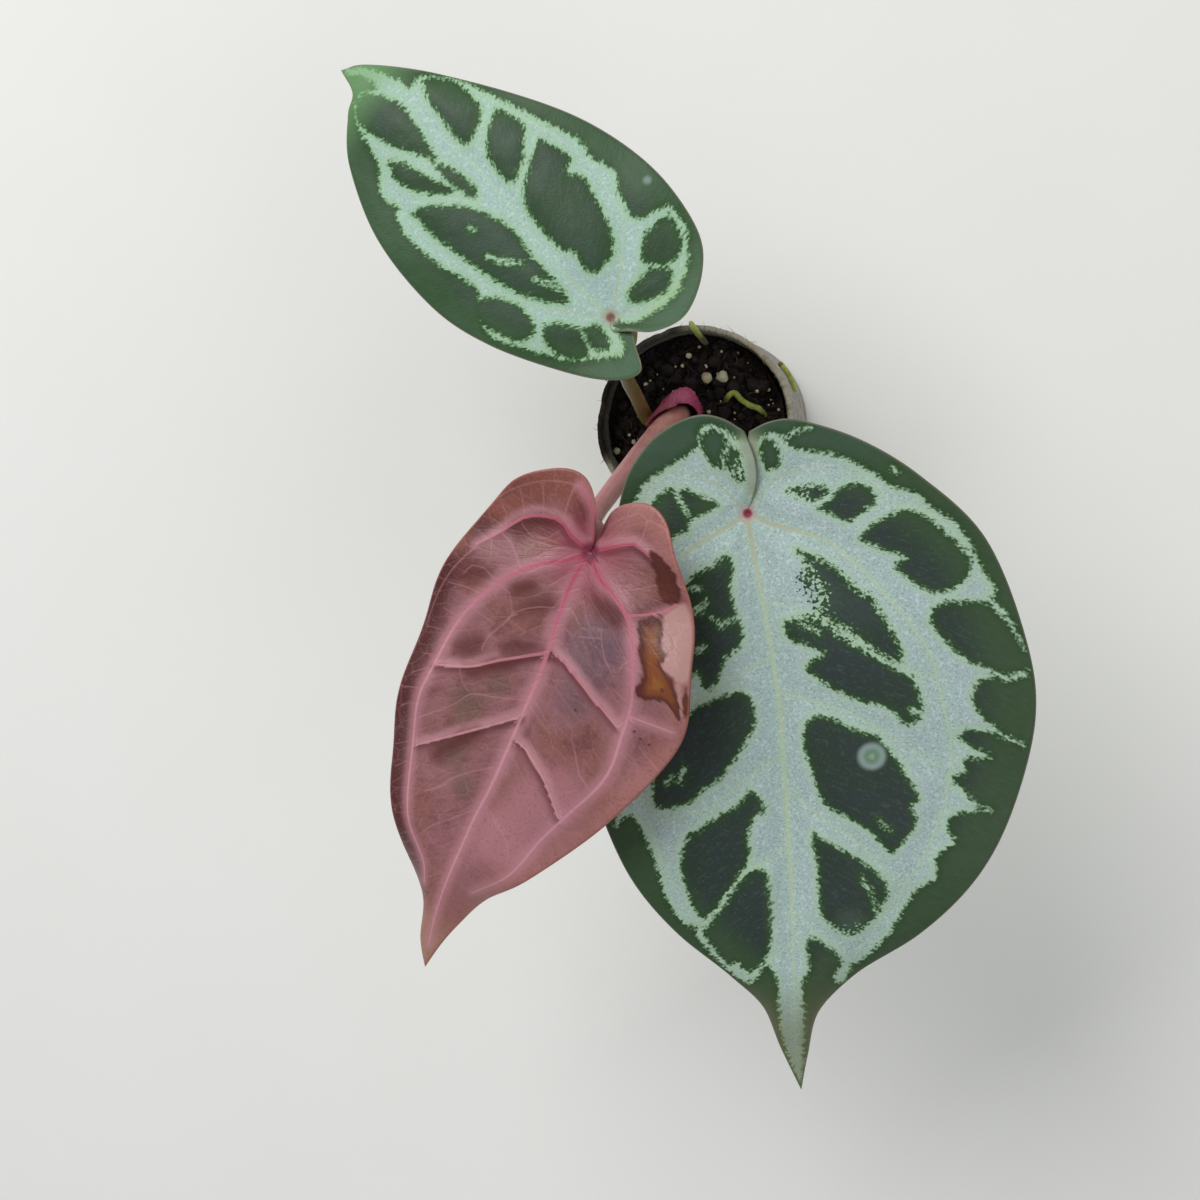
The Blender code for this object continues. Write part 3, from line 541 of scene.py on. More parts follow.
bm = bmesh.new()
bmesh.ops.create_grid(bm, x_segments=SCALE_CELLS[0], y_segments=SCALE_CELLS[1], size=1)
for vertex in bm.verts:
    share, level = (vertex.co.x + 1) / 2, (vertex.co.y + 1) / 2
    angle = math.radians(SCALE_FIRST + (SCALE_LAST - SCALE_FIRST) * share)
    tall = float(ease(SCALE_SLOPE_FIRST * min(share, SCALE_SLOPE_LAST * (1 - share))))
    beside = float(ease((share - SCALE_BESIDE_FROM) / SCALE_BESIDE_SPAN))
    top = SCALE_LOW + (SCALE_TOP - SCALE_LOW + SCALE_BESIDE_RISE * beside) * tall
    top += 0.25 * math.sin(23 * share) * tall
    height = SCALE_BOTTOM + (top - SCALE_BOTTOM) * level
    lean = SCALE_LEAN * tall * float(ease(level * 1.4))
    lean *= math.cos(angle - math.radians(SCALE_LEAN_TOWARDS)) ** 2
    nod = SCALE_NOD * (1 - beside) * tall ** 3 * float(ease((level - SCALE_NOD_FROM) / (1 - SCALE_NOD_FROM)))
    pleats = 0.07 * math.sin(31 * angle) * (1 - 0.5 * level) + 0.16 * math.sin(5 * angle + 3 * level)
    curl = 0.35 * float(ease((0.12 - share) / 0.12)) + 0.3 * float(ease((share - 0.9) / 0.1))
    hug = SCALE_HUG * beside * float(ease((height - SCALE_HUG_START) / SCALE_HUG_RISE))
    radius = SCALE_RADIUS + lean - nod - hug + pleats * float(ease(level * 3)) + curl * level
    follow = beside * max(0.0, height - SCALE_FOLLOW_START)
    vertex.co = (SCALE_PLACE[0] + radius * math.cos(angle) + SCALE_FOLLOW[0] * follow,
                 SCALE_PLACE[1] + radius * math.sin(angle) + SCALE_FOLLOW[1] * follow, height)
waxy_scale, tree, shader = new_material("waxy_magenta_scale", Roughness=0.38, Subsurface_Weight=0.25,
                                        Subsurface_Scale=0.0006, Subsurface_Radius=(1.0, 0.25, 0.3))
# Thin living tissue with a wax bloom: magenta outside and crimson inside, with painted shade in a deeper
# crimson over its left flank and low down, fine lengthwise veins and a paler dry rim.
place = add_node(tree, "ShaderNodeTexCoord", output="Object")
height = add_node(tree, "ShaderNodeSeparateXYZ", {0: place}, output=2)
lengthwise = add_node(tree, "ShaderNodeMapping", {"Vector": place, "Scale": (1, 1, 0.15)})
streaks = add_node(tree, "ShaderNodeTexNoise", {"Vector": lengthwise, "Scale": 1 / (0.5 * MM),
                                                "Detail": 3.0})
mottle = add_node(tree, "ShaderNodeTexNoise", {"Vector": place, "Scale": 1 / (2.2 * MM), "Detail": 3.0})
low_down = add_node(tree, "ShaderNodeMapRange", {0: height, 1: 42.0 * MM, 2: 38.0 * MM})
top_rim = add_node(tree, "ShaderNodeMapRange", {0: height, 1: 45.6 * MM, 2: 46.9 * MM})
leftward = add_node(tree, "ShaderNodeSeparateXYZ", {0: place}, output=0)
tone = lay_coats(tree, "#c4527c", [
    (streaks, 0.5, 0.66, 0.45, "#a8386a"), (mottle, 0.5, 0.7, 0.6, "#cc6a90"),
    # Painted shade: the left flank and the foot are laid over in deeper crimson.
    (leftward, -1.5 * MM, -4.0 * MM, 0.85, "#8c1f34"),
    (low_down, 0.0, 1.0, 0.85, "#7a1a34"), (top_rim, 0.0, 1.0, 0.3, "#c4708a")])
finish_skin(tree, shader, tone, streaks, 0.35, 0.08)
crimson_lining, tree, shader = new_material("crimson_scale_lining", Roughness=0.5, Subsurface_Weight=0.2,
                                            Subsurface_Scale=0.0006, Subsurface_Radius=(1.0, 0.2, 0.25))
# The inner face is smoother and never sees the sun, so its red is deep and even.
place = add_node(tree, "ShaderNodeTexCoord", output="Object")
mottle = add_node(tree, "ShaderNodeTexNoise", {"Vector": place, "Scale": 1 / (1.5 * MM), "Detail": 3.0})
tone = lay_coats(tree, "#8e1038", [(mottle, 0.45, 0.65, 0.6, "#6e0a28")])
tree.links.new(tone, shader.inputs["Base Color"])
scale = new_piece("scale_leaf_hood", bm, waxy_scale, crimson_lining)
shell = scale.modifiers.new("thickness", "SOLIDIFY")
shell.material_offset = 1
shell.thickness = SCALE_WALL * MM
shell.offset = 0
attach(scale, "root")
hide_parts("scale_leaf")


# The small green leaf
# The oldest leaf, at the back. A firm velvety blade whose upper lobe lies over the lower one. Air under
# the skin along its veins scatters the light, so a silver zone follows them round dark green patches.
# In a leaf's own frame the stalk meets it at the origin, +Y points to the tip and +Z out of its face.
SMALL_LEAF = {
    "foot": (-7.3, 14.9, 74.0), "heading": 138.3, "pitch": 4.0, "roll": 0.0,
    "spine": [(0, 0), (0.7, 10), (2.8, 23.4), (4.0, 38), (2.6, 48), (0, 52.9)],
    "right": [(0.3, -3.0), (2.7, -6.2), (7.3, -7.9), (13.1, -5.5), (16.8, -0.9), (18.8, 8.5),
              (17.7, 19.7), (13.6, 31.2), (8.0, 42.8), (3.0, 50.4), (0, 52.9)],
    "left": [(-0.3, -5.2), (-2.6, -8.5), (-6.2, -6.1), (-10, 0.2), (-14.2, 10.5), (-15.8, 20.5),
             (-13.8, 33.0), (-9.0, 43.0), (-4.0, 47.6), (-1.2, 49.2), (0, 52.9)],
    "cells": (190, 58), "arch": 2.2, "fold": 0.7, "lobe_lift": 0.6, "droop": 2.4,
    "waves": (0.35, 3.5, 0.4), "pucker": 0.45, "swells": [(16.5, 8.2, 4.0, 0.3)],
    "overlap": (-1.3, 0.9, 0.6),
}
# The third value of a rib or thread is half the width of its line.
SMALL_RIBS = [
    [(0, 0, 0.17), (0, 4, 0.17), (0.5, 10, 0.17), (1.4, 17, 0.16), (2.4, 23, 0.16), (2.9, 28, 0.15),
     (2.7, 34, 0.14), (3.3, 39, 0.12), (3.4, 43, 0.11), (2.4, 48, 0.09), (0.6, 52, 0.07)],
    [(0, 0, 0.16), (5, 2.7, 0.15), (10.4, 6.6, 0.14), (12.4, 11, 0.14), (13.6, 20, 0.13),
     (11.8, 29, 0.12), (9.8, 38, 0.09), (8.2, 41, 0.06)],
    [(0, 0, 0.15), (-3.2, 4.2, 0.14), (-6.2, 10.2, 0.13), (-8, 15, 0.13), (-9, 24, 0.12),
     (-8.9, 31, 0.11), (-7.4, 36, 0.1), (-4.3, 45, 0.08), (-2.6, 47.6, 0.06)],
    [(0.2, -0.2, 0.12), (2.2, -1.9, 0.12), (5.4, -3.7, 0.11), (8.2, -4.2, 0.1), (11.2, -3.1, 0.09),
     (13.9, -1.1, 0.08), (15.9, 1.4, 0.06)],
    [(-0.4, -0.6, 0.12), (-3.2, -3.2, 0.11), (-5.2, -1.5, 0.1), (-7.9, 1.1, 0.09), (-10.8, 7.4, 0.08),
     (-12.9, 11.6, 0.06)],
    [(1.9, 19.8, 0.1), (4.2, 21.1, 0.1), (8, 22.7, 0.09), (12.6, 24.6, 0.08)],
    [(2.9, 28, 0.09), (6.4, 30.4, 0.09), (11, 32.6, 0.08)],
    [(3.3, 38.5, 0.08), (4.8, 41, 0.07), (5.6, 42.4, 0.06)],
    [(1, 20.5, 0.09), (-1.4, 25.8, 0.09), (-4.2, 29.6, 0.08), (-7.9, 34.4, 0.07)],
    [(2.6, 31, 0.08), (0.2, 32.2, 0.08), (-1.8, 34.8, 0.08), (-3.4, 38.4, 0.07), (-4.9, 42, 0.06)],
    [(3.4, 0.7, 0.08), (7.8, 0.6, 0.08), (10.2, -1.5, 0.07), (11.6, -2.8, 0.06)],
]
SMALL_ZONE = [
    (0.4, 52.5), (1.7, 51), (2.8, 49.4), (3.8, 46.8), (4.5, 44.6), (4.7, 42.5), (6.6, 42.8), (8.4, 41),
    (10.1, 38), (12.6, 29), (13.7, 24.3), (14.9, 19.7), (14.4, 16.9), (14.7, 14.7), (15.1, 11.9),
    (14, 11.4), (12, 6.3), (15, 4.5), (16.4, 3.4), (15.8, 0.1), (14.1, -1.6), (12.1, -3.5), (8, -4.9),
    (3.4, -3.8), (1.2, -2.6), (-0.2, -0.1), (-0.8, -2.1), (-2, -4.6), (-3.5, -4.1), (-7.9, 0.2),
    (-9.8, 3.5), (-11.5, 7.1), (-13, 11), (-12.2, 13), (-9.5, 16.5), (-9.8, 19.6), (-10.5, 22.7),
    (-10.7, 28.7), (-9.7, 32.3), (-8.6, 32.7), (-8.9, 36.1), (-6.0, 39.1), (-4.7, 43), (-3.8, 45.6),
    (-1.9, 47.8), (0.2, 47.6), (1.5, 46.3), (1.9, 47.8), (1.4, 49.6), (0.2, 51.8),
]
SMALL_PATCHES = [
    [(6.7, 42.2), (8.5, 40.6), (9.7, 38.1), (9.3, 32.7), (6.8, 31.3), (4.5, 30.7), (4, 32.5), (5.1, 38.7)],
    [(10.6, 31.3), (11.4, 28.6), (11.4, 26), (9.1, 24.3), (8.1, 23.3), (4.5, 22.4), (5, 27.1),
     (7.1, 29.4)],
    [(11.6, 23.6), (12.4, 20.3), (12.3, 17.8), (11.3, 18), (10.5, 16.8), (11.5, 16.3), (11.3, 13.5),
     (9, 7.8), (7.2, 5.4), (5.1, 5), (2.6, 5.8), (3.3, 9.5), (2.4, 11), (2.8, 16.5), (4.2, 19.8),
     (8, 22.1)],
    [(-1.8, 47.7), (0.2, 47.4), (1.7, 44.2), (2.4, 42), (2, 39.8), (0.2, 32.9), (-1, 34.8), (-2.9, 39.4),
     (-3.8, 45.3)],
    [(-5.1, 38.1), (-3.6, 36.8), (-2.4, 31.6), (-1.5, 27.8), (-3.6, 29.5), (-5.3, 32.4), (-6, 35.5)],
    [(-0.7, 33.1), (0.7, 29.9), (0.9, 27.1), (0.6, 25.3), (-0.6, 25), (-1.2, 29.5)],
    [(-8, 30.8), (-5.7, 29.7), (-2, 25), (-0.3, 20.3), (-0.1, 17.9), (-0.9, 12.7), (-1.4, 7.8),
     (-2.5, 5.6), (-5.3, 9.7), (-6.9, 15.5), (-7.5, 20.2), (-8.1, 25.6)],
    [(11.4, 3.7), (14.6, 3.4), (15.5, 2.8), (15.5, 1.6), (14.2, -0.9), (12.9, -1.5), (10.8, -1.5),
     (8.8, 0.7), (8.8, 1.9)],
    [(7.2, 0.3), (8.7, 0.1), (10.4, -1.9), (8.1, -3.7), (5.8, -2.9), (3.6, -1.4), (3.6, 0.1), (5.5, 0.4)],
    [(-3.7, 1.7), (-1.8, 0.6), (-2.6, -2.5), (-4.1, -2.5), (-4.9, -0.6)],
    [(-7.5, 5.6), (-6.3, 5.9), (-4.2, 2.9), (-4.1, 1.6), (-5.6, -1.1), (-7, -0.9), (-8.6, 1.7),
     (-8.5, 4.5)],
    [(-12.1, 15), (-10.7, 15.5), (-9.1, 14.5), (-7.2, 10.8), (-7.5, 7.2), (-9.2, 6.3), (-11.4, 8),
     (-12.8, 13.2)],
    [(-11.6, 21.1), (-9.8, 19.6), (-9.7, 16.5), (-12.6, 16.1)],
]
SMALL_THREADS = [
    [(-5, 18, 0.28), (-4.2, 15.9, 0.28), (-2.6, 13.9, 0.21)], [(-3.9, 22.7, 0.21), (-3.7, 21.9, 0.21)],
    [(-3, 11.1, 0.21), (-1.6, 7.6, 0.21)], [(-9.2, 4.7, 0.28), (-6.8, 7.1, 0.28)],
]
BLADE = 0.42  # thickness
BLADE_EDGE = 0.45  # the blade thins and rounds off over this much of its edge
ROW_SLANT = 0.6  # the side veins lean forward by this much of their run
TIP_SHARE = 0.16  # the bow from side to side fades over this share of the length, up to the tip
DROOP_FROM = 0.68  # the tip hangs down from this share of the length
MIDRIB_FOLD = 3.0  # how far the fold along the midrib reaches to either side
NOTCH_SHARE = 0.07  # the share of the rows, from the notch on, in which one lobe lies over the other
VEIN_VALLEY, BROAD_VEIN = 2.2, 0.16  # how far the valley over a vein reaches, and from which width it is full
PLAIN_EDGE = 1.5  # the ridges and the small relief fade out over this much of the edge


def leaf_matrix(leaf):
    """Places a leaf's own frame, in millimetres."""
    turned = Euler((math.radians(-leaf["pitch"]), math.radians(-leaf["roll"]),
                    math.radians(leaf["heading"] - 90)), "YXZ")
    return Matrix.Translation(leaf["foot"]) @ turned.to_matrix().to_4x4()


def along_vein(vein, x, y):
    """How far each point lies from a vein, on which side of it, and how wide the vein is there."""
    away, side, width = np.full(x.shape, 1e3), np.ones(x.shape), np.ones(x.shape)
    for (ax, ay, start_width), (bx, by, end_width) in zip(vein, vein[1:]):
        run_x, run_y = bx - ax, by - ay
        share = np.clip(((x - ax) * run_x + (y - ay) * run_y) / max(run_x ** 2 + run_y ** 2, 1e-9), 0, 1)
        gap_x, gap_y = x - ax - share * run_x, y - ay - share * run_y
        here = np.hypot(gap_x, gap_y)
        nearer = here < away
        away = np.where(nearer, here, away)
        side = np.where(nearer, np.where(run_x * gap_y > run_y * gap_x, 1.0, -1.0), side)
        width = np.where(nearer, start_width + (end_width - start_width) * share, width)
    return away, side, width


def smooth_vein(vein, step=1.5):
    reach = sum(math.dist(a[:2], b[:2]) for a, b in zip(vein, vein[1:]))
    return smooth_path(vein, max(3, round(reach / step)))


def line_fields(veins, x, y):
    """How far each point lies from the nearest vein, and that as a signed number of the line's half-widths,
    which crosses nothing evenly at its middle, so the line stays sharp between the points."""
    nearest, signed = np.full(x.shape, 1e3), np.full(x.shape, 1e3)
    for vein in veins:
        away, side, width = along_vein(smooth_vein(vein), x, y)
        signed = np.where(away < nearest, side * away / width, signed)
        nearest = np.minimum(nearest, away)
    return nearest, signed


def region_depth(outlines, x, y):
    """How deep each point lies inside the deepest of some closed outlines, and below nothing how far
    outside them all."""
    deepest = np.full(x.shape, -1e3)
    for outline in outlines:
        line = smooth_vein([(*point, 0.0) for point in outline + outline[:1]], 0.8)
        away, inside = along_vein(line, x, y)[0], np.zeros(x.shape, bool)
        for (ax, ay, _), (bx, by, _) in zip(line, line[1:]):
            rise = by - ay if by != ay else 1e-9
            inside ^= ((ay > y) != (by > y)) & (x < ax + (y - ay) * (bx - ax) / rise)
        deepest = np.maximum(deepest, np.where(inside, away, -away))
    return deepest


def band_depth(veins, x, y, spread=1.0):
    """How deep each point lies inside the bands along some veins, and below nothing how far outside."""
    deepest = np.full(x.shape, -1e3)
    for vein in veins:
        away, _, width = along_vein(smooth_vein(vein), x, y)
        deepest = np.maximum(deepest, spread * width - away)
    return deepest


def silver_field(zone, patches, threads):
    """Above nothing in the silver: inside its zone but outside the patches, and along the threads."""
    return lambda x, y: np.maximum(np.minimum(region_depth([zone], x, y), -region_depth(patches, x, y)),
                                   band_depth(threads, x, y))


def spots_field(spots):
    """As high as its strength at each spot, fading away over its radius. A spot is x, y, radius and
    strength, and with no spots it is nothing everywhere."""
    return lambda x, y: sum((strength * np.exp(-((x - spot_x) ** 2 + (y - spot_y) ** 2) / radius ** 2)
                             for spot_x, spot_y, radius, strength in spots), np.zeros(x.shape))


def rows_of(leaf, across, row, rows):
    """Where the points of a blade lie in its own frame, with how far out each is along its row. A row runs
    from the midrib to the margin, and its points are closer together at both ends."""
    right, left = smooth_path(leaf["right"], rows + 1), smooth_path(leaf["left"], rows + 1)
    on_right = (across >= 0)[:, None]
    edge = np.where(on_right, right[row], left[row])
    opposite = np.where(on_right, left[row], right[row])
    spine = smooth_path(leaf["spine"], 120)

    def foot_of(margin_point):
        middle = np.interp(margin_point[:, 1], spine[:, 1], spine[:, 0])
        return np.maximum(0, margin_point[:, 1] - ROW_SLANT * np.abs(margin_point[:, 0] - middle))

    own_foot, other_foot = foot_of(edge), foot_of(opposite)
    step = np.abs(across)
    reach = step - 0.45 * np.sin(2 * np.pi * step) / (2 * np.pi)
    shared = (own_foot + other_foot) / 2
    foot_y = shared + (own_foot - shared) * ease(reach / 0.35)
    foot_x = np.interp(foot_y, spine[:, 1], spine[:, 0])
    x = foot_x + (edge[:, 0] - foot_x) * reach
    y = foot_y + (edge[:, 1] - foot_y) * reach
    row_run = np.hypot(edge[:, 0] - foot_x, edge[:, 1] - foot_y) * reach * np.sign(across)
    return x, y, reach, row_run, right, left


def blade_height(leaf, ribs, x, y, reach, along):
    """How high the upper face stands at each point, and how far the ridges of the ribs stand out below."""
    length = leaf["spine"][-1][1]
    bow = reach ** 2 * ease((1 - y / length) / TIP_SHARE)
    height = leaf["arch"] * ease(y / (0.3 * length) + 0.25) * (0.85 - bow)
    height += leaf["lobe_lift"] * ease(-y / 8) * reach
    height -= leaf["droop"] * np.maximum(0, (y / length - DROOP_FROM) / 0.32) ** 2
    depth, count, start = leaf["waves"]
    height += depth * bow * np.sin(2 * np.pi * count * along + start)
    spine_line = [(*point, 1.0) for point in leaf["spine"]]
    to_spine = along_vein(smooth_vein(spine_line), x, y)[0]
    height -= leaf["fold"] * np.exp(-(to_spine / MIDRIB_FOLD) ** 2)
    valley, ridge = np.zeros(x.shape), np.zeros(x.shape)
    for vein in ribs:
        away, _, width = along_vein(smooth_vein(vein), x, y)
        valley = np.maximum(valley, np.exp(-(away / VEIN_VALLEY) ** 2) * np.clip(width / BROAD_VEIN, 0.3, 1))
        ridge = np.maximum(ridge, 3.2 * width * np.exp(-(away / (0.25 + 2.4 * width)) ** 2))
    height -= leaf["pucker"] * valley
    for swell_x, swell_y, radius, rise in leaf["swells"]:
        height += rise * np.exp(-((x - swell_x) ** 2 + (y - swell_y) ** 2) / radius ** 2)
    return height, ridge


def make_blade(name, leaf, ribs, fields, materials):
    """A closed blade of two faces that meet at the margin. Ribs are veins with a ridge beneath, and
    fields are extra values that its materials read at each point."""
    rows, columns = leaf["cells"]
    bm = bmesh.new()
    for face_side in (0, 1):
        grid = bmesh.ops.create_grid(bm, x_segments=2 * columns, y_segments=rows, size=1)["verts"]
        for vertex in grid:
            vertex.co.z = face_side
    under = [face for face in bm.faces if face.verts[0].co.z > 0.5]
    for face in under:
        face.material_index = 1
    bmesh.ops.reverse_faces(bm, faces=under)
    mesh = bpy.data.meshes.new(name)
    bm.to_mesh(mesh)
    flat = np.empty(len(mesh.vertices) * 3, np.float32)
    mesh.vertices.foreach_get("co", flat)
    across, along, underneath = flat.reshape(-1, 3).astype(float).T
    along = (along + 1) / 2
    row = np.rint(along * rows).astype(int)
    x, y, reach, row_run, right, left = rows_of(leaf, across, row, rows)

    # One lobe of a green leaf lies over the other along the notch.
    bulge_right, bulge_left, lift = leaf["overlap"]
    near_notch = np.sin(np.pi * np.clip(reach, 0, 1)) * np.clip(1 - row / (rows * NOTCH_SHARE), 0, 1)
    x += near_notch * np.where(across >= 0, bulge_right, bulge_left)

    height, ridge = blade_height(leaf, ribs, x, y, reach, along)
    margin, shares = np.zeros(len(x)), np.linspace(0, 1, 12)[:, None]
    for here, outer, bulge in ((across >= 0, right, bulge_right), (across < 0, left, bulge_left)):
        notch = shares * outer[0] + np.sin(np.pi * shares) * (bulge, 0)
        outline = [(*point, 0.0) for point in np.vstack([notch, outer[2::2], outer[-1:]])]
        margin[here] = along_vein(outline, x[here], y[here])[0]
    margin[(row == rows) | (np.abs(across) > 0.9999) | (row == 0)] = 0
    height += lift * near_notch * np.where(across >= 0, 1, -1)
    spots = np.column_stack([x, y, np.zeros(len(x))])
    upper_only = underneath < 0.5
    upper_spots = spots[upper_only]
    small_relief = np.zeros(len(x))
    small_relief[upper_only] = rough(upper_spots, 5.5, 1.0) * 0.16 + rough(upper_spots, 1.9, 2.0) * 0.05
    small_relief[~upper_only] = small_relief[upper_only]
    height += small_relief * ease(margin / PLAIN_EDGE)
    fullness = np.sqrt(np.clip(1 - (1 - np.clip(margin / BLADE_EDGE, 0, 1)) ** 2, 0, 1))
    height -= BLADE / 2 * (1 - fullness)
    height -= underneath * (BLADE * fullness + ridge * ease(margin / PLAIN_EDGE))

    mesh.vertices.foreach_set("co", np.column_stack([x, y, height]).ravel())
    rib_away, rib_side = line_fields(ribs, x, y)
    values = {"rib_away": rib_away, "rib_side": rib_side, "margin": margin, "stalk_away": np.hypot(x, y),
              "tipward": y / leaf["spine"][-1][1]}
    values.update({field: find(x, y) for field, find in fields.items()})
    for field, value in values.items():
        mesh.attributes.new(field, "FLOAT", "POINT").data.foreach_set("value", value.astype(np.float32))
    margin_length = np.linalg.norm(np.diff(right, axis=0), axis=1).sum()
    weave = np.column_stack([row_run, along * margin_length, underneath]).astype(np.float32)
    mesh.attributes.new("weave", "FLOAT_VECTOR", "POINT").data.foreach_set("vector", weave.ravel())

    bm.clear()
    bm.from_mesh(mesh)
    bmesh.ops.remove_doubles(bm, verts=bm.verts, dist=0.002)
    bmesh.ops.transform(bm, matrix=leaf_matrix(leaf), verts=bm.verts)
    return new_piece(name, bm, *materials)


def silver_leaf(name, tones):
    """Velvety leaf skin: matt and soft, dark green with a saturated edge to each patch, and a grainy
    blue-grey silver that breaks into teeth and specks along the fine veins."""
    material, tree, shader = new_material(name, Roughness=0.55, Specular_IOR_Level=0.3, Sheen_Weight=0.06,
                                          Sheen_Roughness=0.4)
    shader.inputs["Sheen Tint"].default_value = colour(tones["sheen"])
    field = {name: add_node(tree, "ShaderNodeAttribute", output=2, attribute_name=name)
             for name in ("silver", "veil", "drop", "seam", "rib_away", "rib_side", "margin", "stalk_away",
                          "tipward")}
    place = add_node(tree, "ShaderNodeTexCoord", output="Object")
    weave = add_node(tree, "ShaderNodeAttribute", output=1, attribute_name="weave")
    stretched = add_node(tree, "ShaderNodeVectorMath", {0: weave, 1: (0.6, 1.9, 5.0)}, operation="MULTIPLY")
    teeth = add_node(tree, "ShaderNodeTexNoise", {"Vector": stretched, "Scale": 1.0, "Detail": 4.0,
                                                 "Roughness": 0.7})
    speckle = add_node(tree, "ShaderNodeTexNoise", {"Vector": place, "Scale": 1 / (0.45 * MM),
                                                    "Detail": 2.0})
    cells = add_node(tree, "ShaderNodeTexNoise", {"Vector": place, "Scale": 1 / (0.26 * MM), "Detail": 1.0})
    cloud = add_node(tree, "ShaderNodeTexNoise", {"Vector": place, "Scale": 1 / (7 * MM), "Detail": 3.0})
    ragged = add_node(tree, "ShaderNodeMath", {0: teeth, 1: 2.3, 2: field["silver"]},
                      operation="MULTIPLY_ADD")
    ragged = add_node(tree, "ShaderNodeMath", {0: speckle, 1: 1.5, 2: ragged}, operation="MULTIPLY_ADD")
    ragged = add_node(tree, "ShaderNodeMath", {0: ragged, 1: 1.9}, operation="SUBTRACT")
    specks = add_node(tree, "ShaderNodeMath", {0: speckle, 1: 7.0, 2: -3.5}, operation="MULTIPLY_ADD")
    ragged = add_node(tree, "ShaderNodeMix", {0: field["veil"], 2: ragged, 3: specks})
    off_rib = add_node(tree, "ShaderNodeMath", {0: field["rib_side"]}, operation="ABSOLUTE")
    near_rib = add_node(tree, "ShaderNodeMapRange",
                        {0: field["rib_away"], 1: 0.8, 2: 0.5, 4: tones["rib_share"]})
    rib_line = add_node(tree, "ShaderNodeMapRange", {0: off_rib, 1: 1.9, 2: 0.8, 4: near_rib})
    inner_edge = add_node(tree, "ShaderNodeMapRange", {0: field["silver"], 1: -1.4, 2: -0.2, 4: 0.9})
    silver_line = add_node(tree, "ShaderNodeMapRange", {0: ragged, 1: -0.2, 2: 0.4, 4: rib_line})

    pale = lay_coats(tree, tones["cool"], [
        (field["rib_away"], 2.2, 0.5, 0.6, tones["mint"]),
        (cloud, 0.5, 0.66, 0.35, tones["mint"]),
        (cells, 0.5, 0.66, 0.7, tones["shade"]),
        (speckle, 0.47, 0.34, 0.7, tones["glint"]),
        (field["silver"], 1.4, 0.0, 0.7, tones["pale_edge"]),
        (field["tipward"], -0.03, -0.1, tones["lobe_share"], "#86ad5e"),
        (rib_line, 0.0, 1.0, 0.7, tones["rib"])])
    tone = lay_coats(tree, tones["patch"], [
        (cloud, 0.42, 0.62, 0.6, tones["patch_other"]),
        (speckle, 0.58, 0.72, 0.35, tones["fleck"]),
        (field["margin"], tones["outer_from"], 0.4 * tones["outer_from"], 0.85, tones["outer"]),
        (teeth, 0.52, 0.66, 0.45, tones["lobe"]),
        (teeth, 0.46, 0.34, 0.4, tones["patch_edge"]),
        (field["tipward"], -0.03, -0.12, 0.5, tones["lobe"]),
        (field["veil"], 0.05, 0.5, 0.4, tones["fleck"]),
        (field["silver"], -1.6, -0.2, inner_edge, tones["patch_edge"]),
        (ragged, -0.4, -0.1, 0.5, tones["fringe"]),
        (ragged, -0.25, 0.3, 1.0, pale),
        (field["tipward"], tones["tip_from"], tones["tip_from"] + 0.14, tones["tip_share"], tones["tip"]),
        (field["drop"], 0.3, 0.7, 0.55, "#a9c0b8"),
        (field["drop"], 0.8, 1.1, 0.65, "#567a5c"),
        (field["drop"], 1.16, 1.27, 0.5, "#9ab58a"),
        (field["margin"], 1.9, 1.5, field["seam"], "#86a464"),
        (field["margin"], 1.4, 1.1, field["seam"], "#9a9b92"),
        (field["margin"], 0.26, 0.08, 0.7, tones["margin"]),
        (field["stalk_away"], 14.0, 3.0, silver_line, tones["rib_base"]),
        (field["stalk_away"], 1.7, 0.6, 0.6, tones["halo"]),
        (field["stalk_away"], 0.85, 0.4, 0.95, tones["junction"])])
    matt = add_node(tree, "ShaderNodeMapRange", {0: ragged, 1: -0.4, 2: 0.6, 3: 0.5, 4: 0.62})
    tree.links.new(matt, shader.inputs["Roughness"])
    net = add_node(tree, "ShaderNodeTexVoronoi", {"Vector": stretched, "Scale": 0.55},
                   feature="DISTANCE_TO_EDGE")
    relief = add_node(tree, "ShaderNodeMath", {0: net, 1: 0.6, 2: cells}, operation="MULTIPLY_ADD")
    finish_skin(tree, shader, tone, relief, 0.5, 0.09)
    return material


def leaf_underside(name, skin, other, ribs):
    """The lower face: paler, matt and plain, with the ribs in their own colour."""
    material, tree, shader = new_material(name, Roughness=0.6, Specular_IOR_Level=0.3)
    place = add_node(tree, "ShaderNodeTexCoord", output="Object")
    weave = add_node(tree, "ShaderNodeAttribute", output=1, attribute_name="weave")
    rib_away = add_node(tree, "ShaderNodeAttribute", output=2, attribute_name="rib_away")
    mottle = add_node(tree, "ShaderNodeTexNoise", {"Vector": place, "Scale": 1 / (2.5 * MM), "Detail": 4.0})
    net = add_node(tree, "ShaderNodeTexVoronoi", {"Vector": weave, "Scale": 0.6}, feature="DISTANCE_TO_EDGE")
    tone = lay_coats(tree, skin, [(mottle, 0.4, 0.65, 0.7, other), (net, 0.07, 0.0, 0.4, ribs),
                                  (rib_away, 1.1, 0.4, 0.85, ribs)])
    finish_skin(tree, shader, tone, net, 0.4, 0.1)
    return material


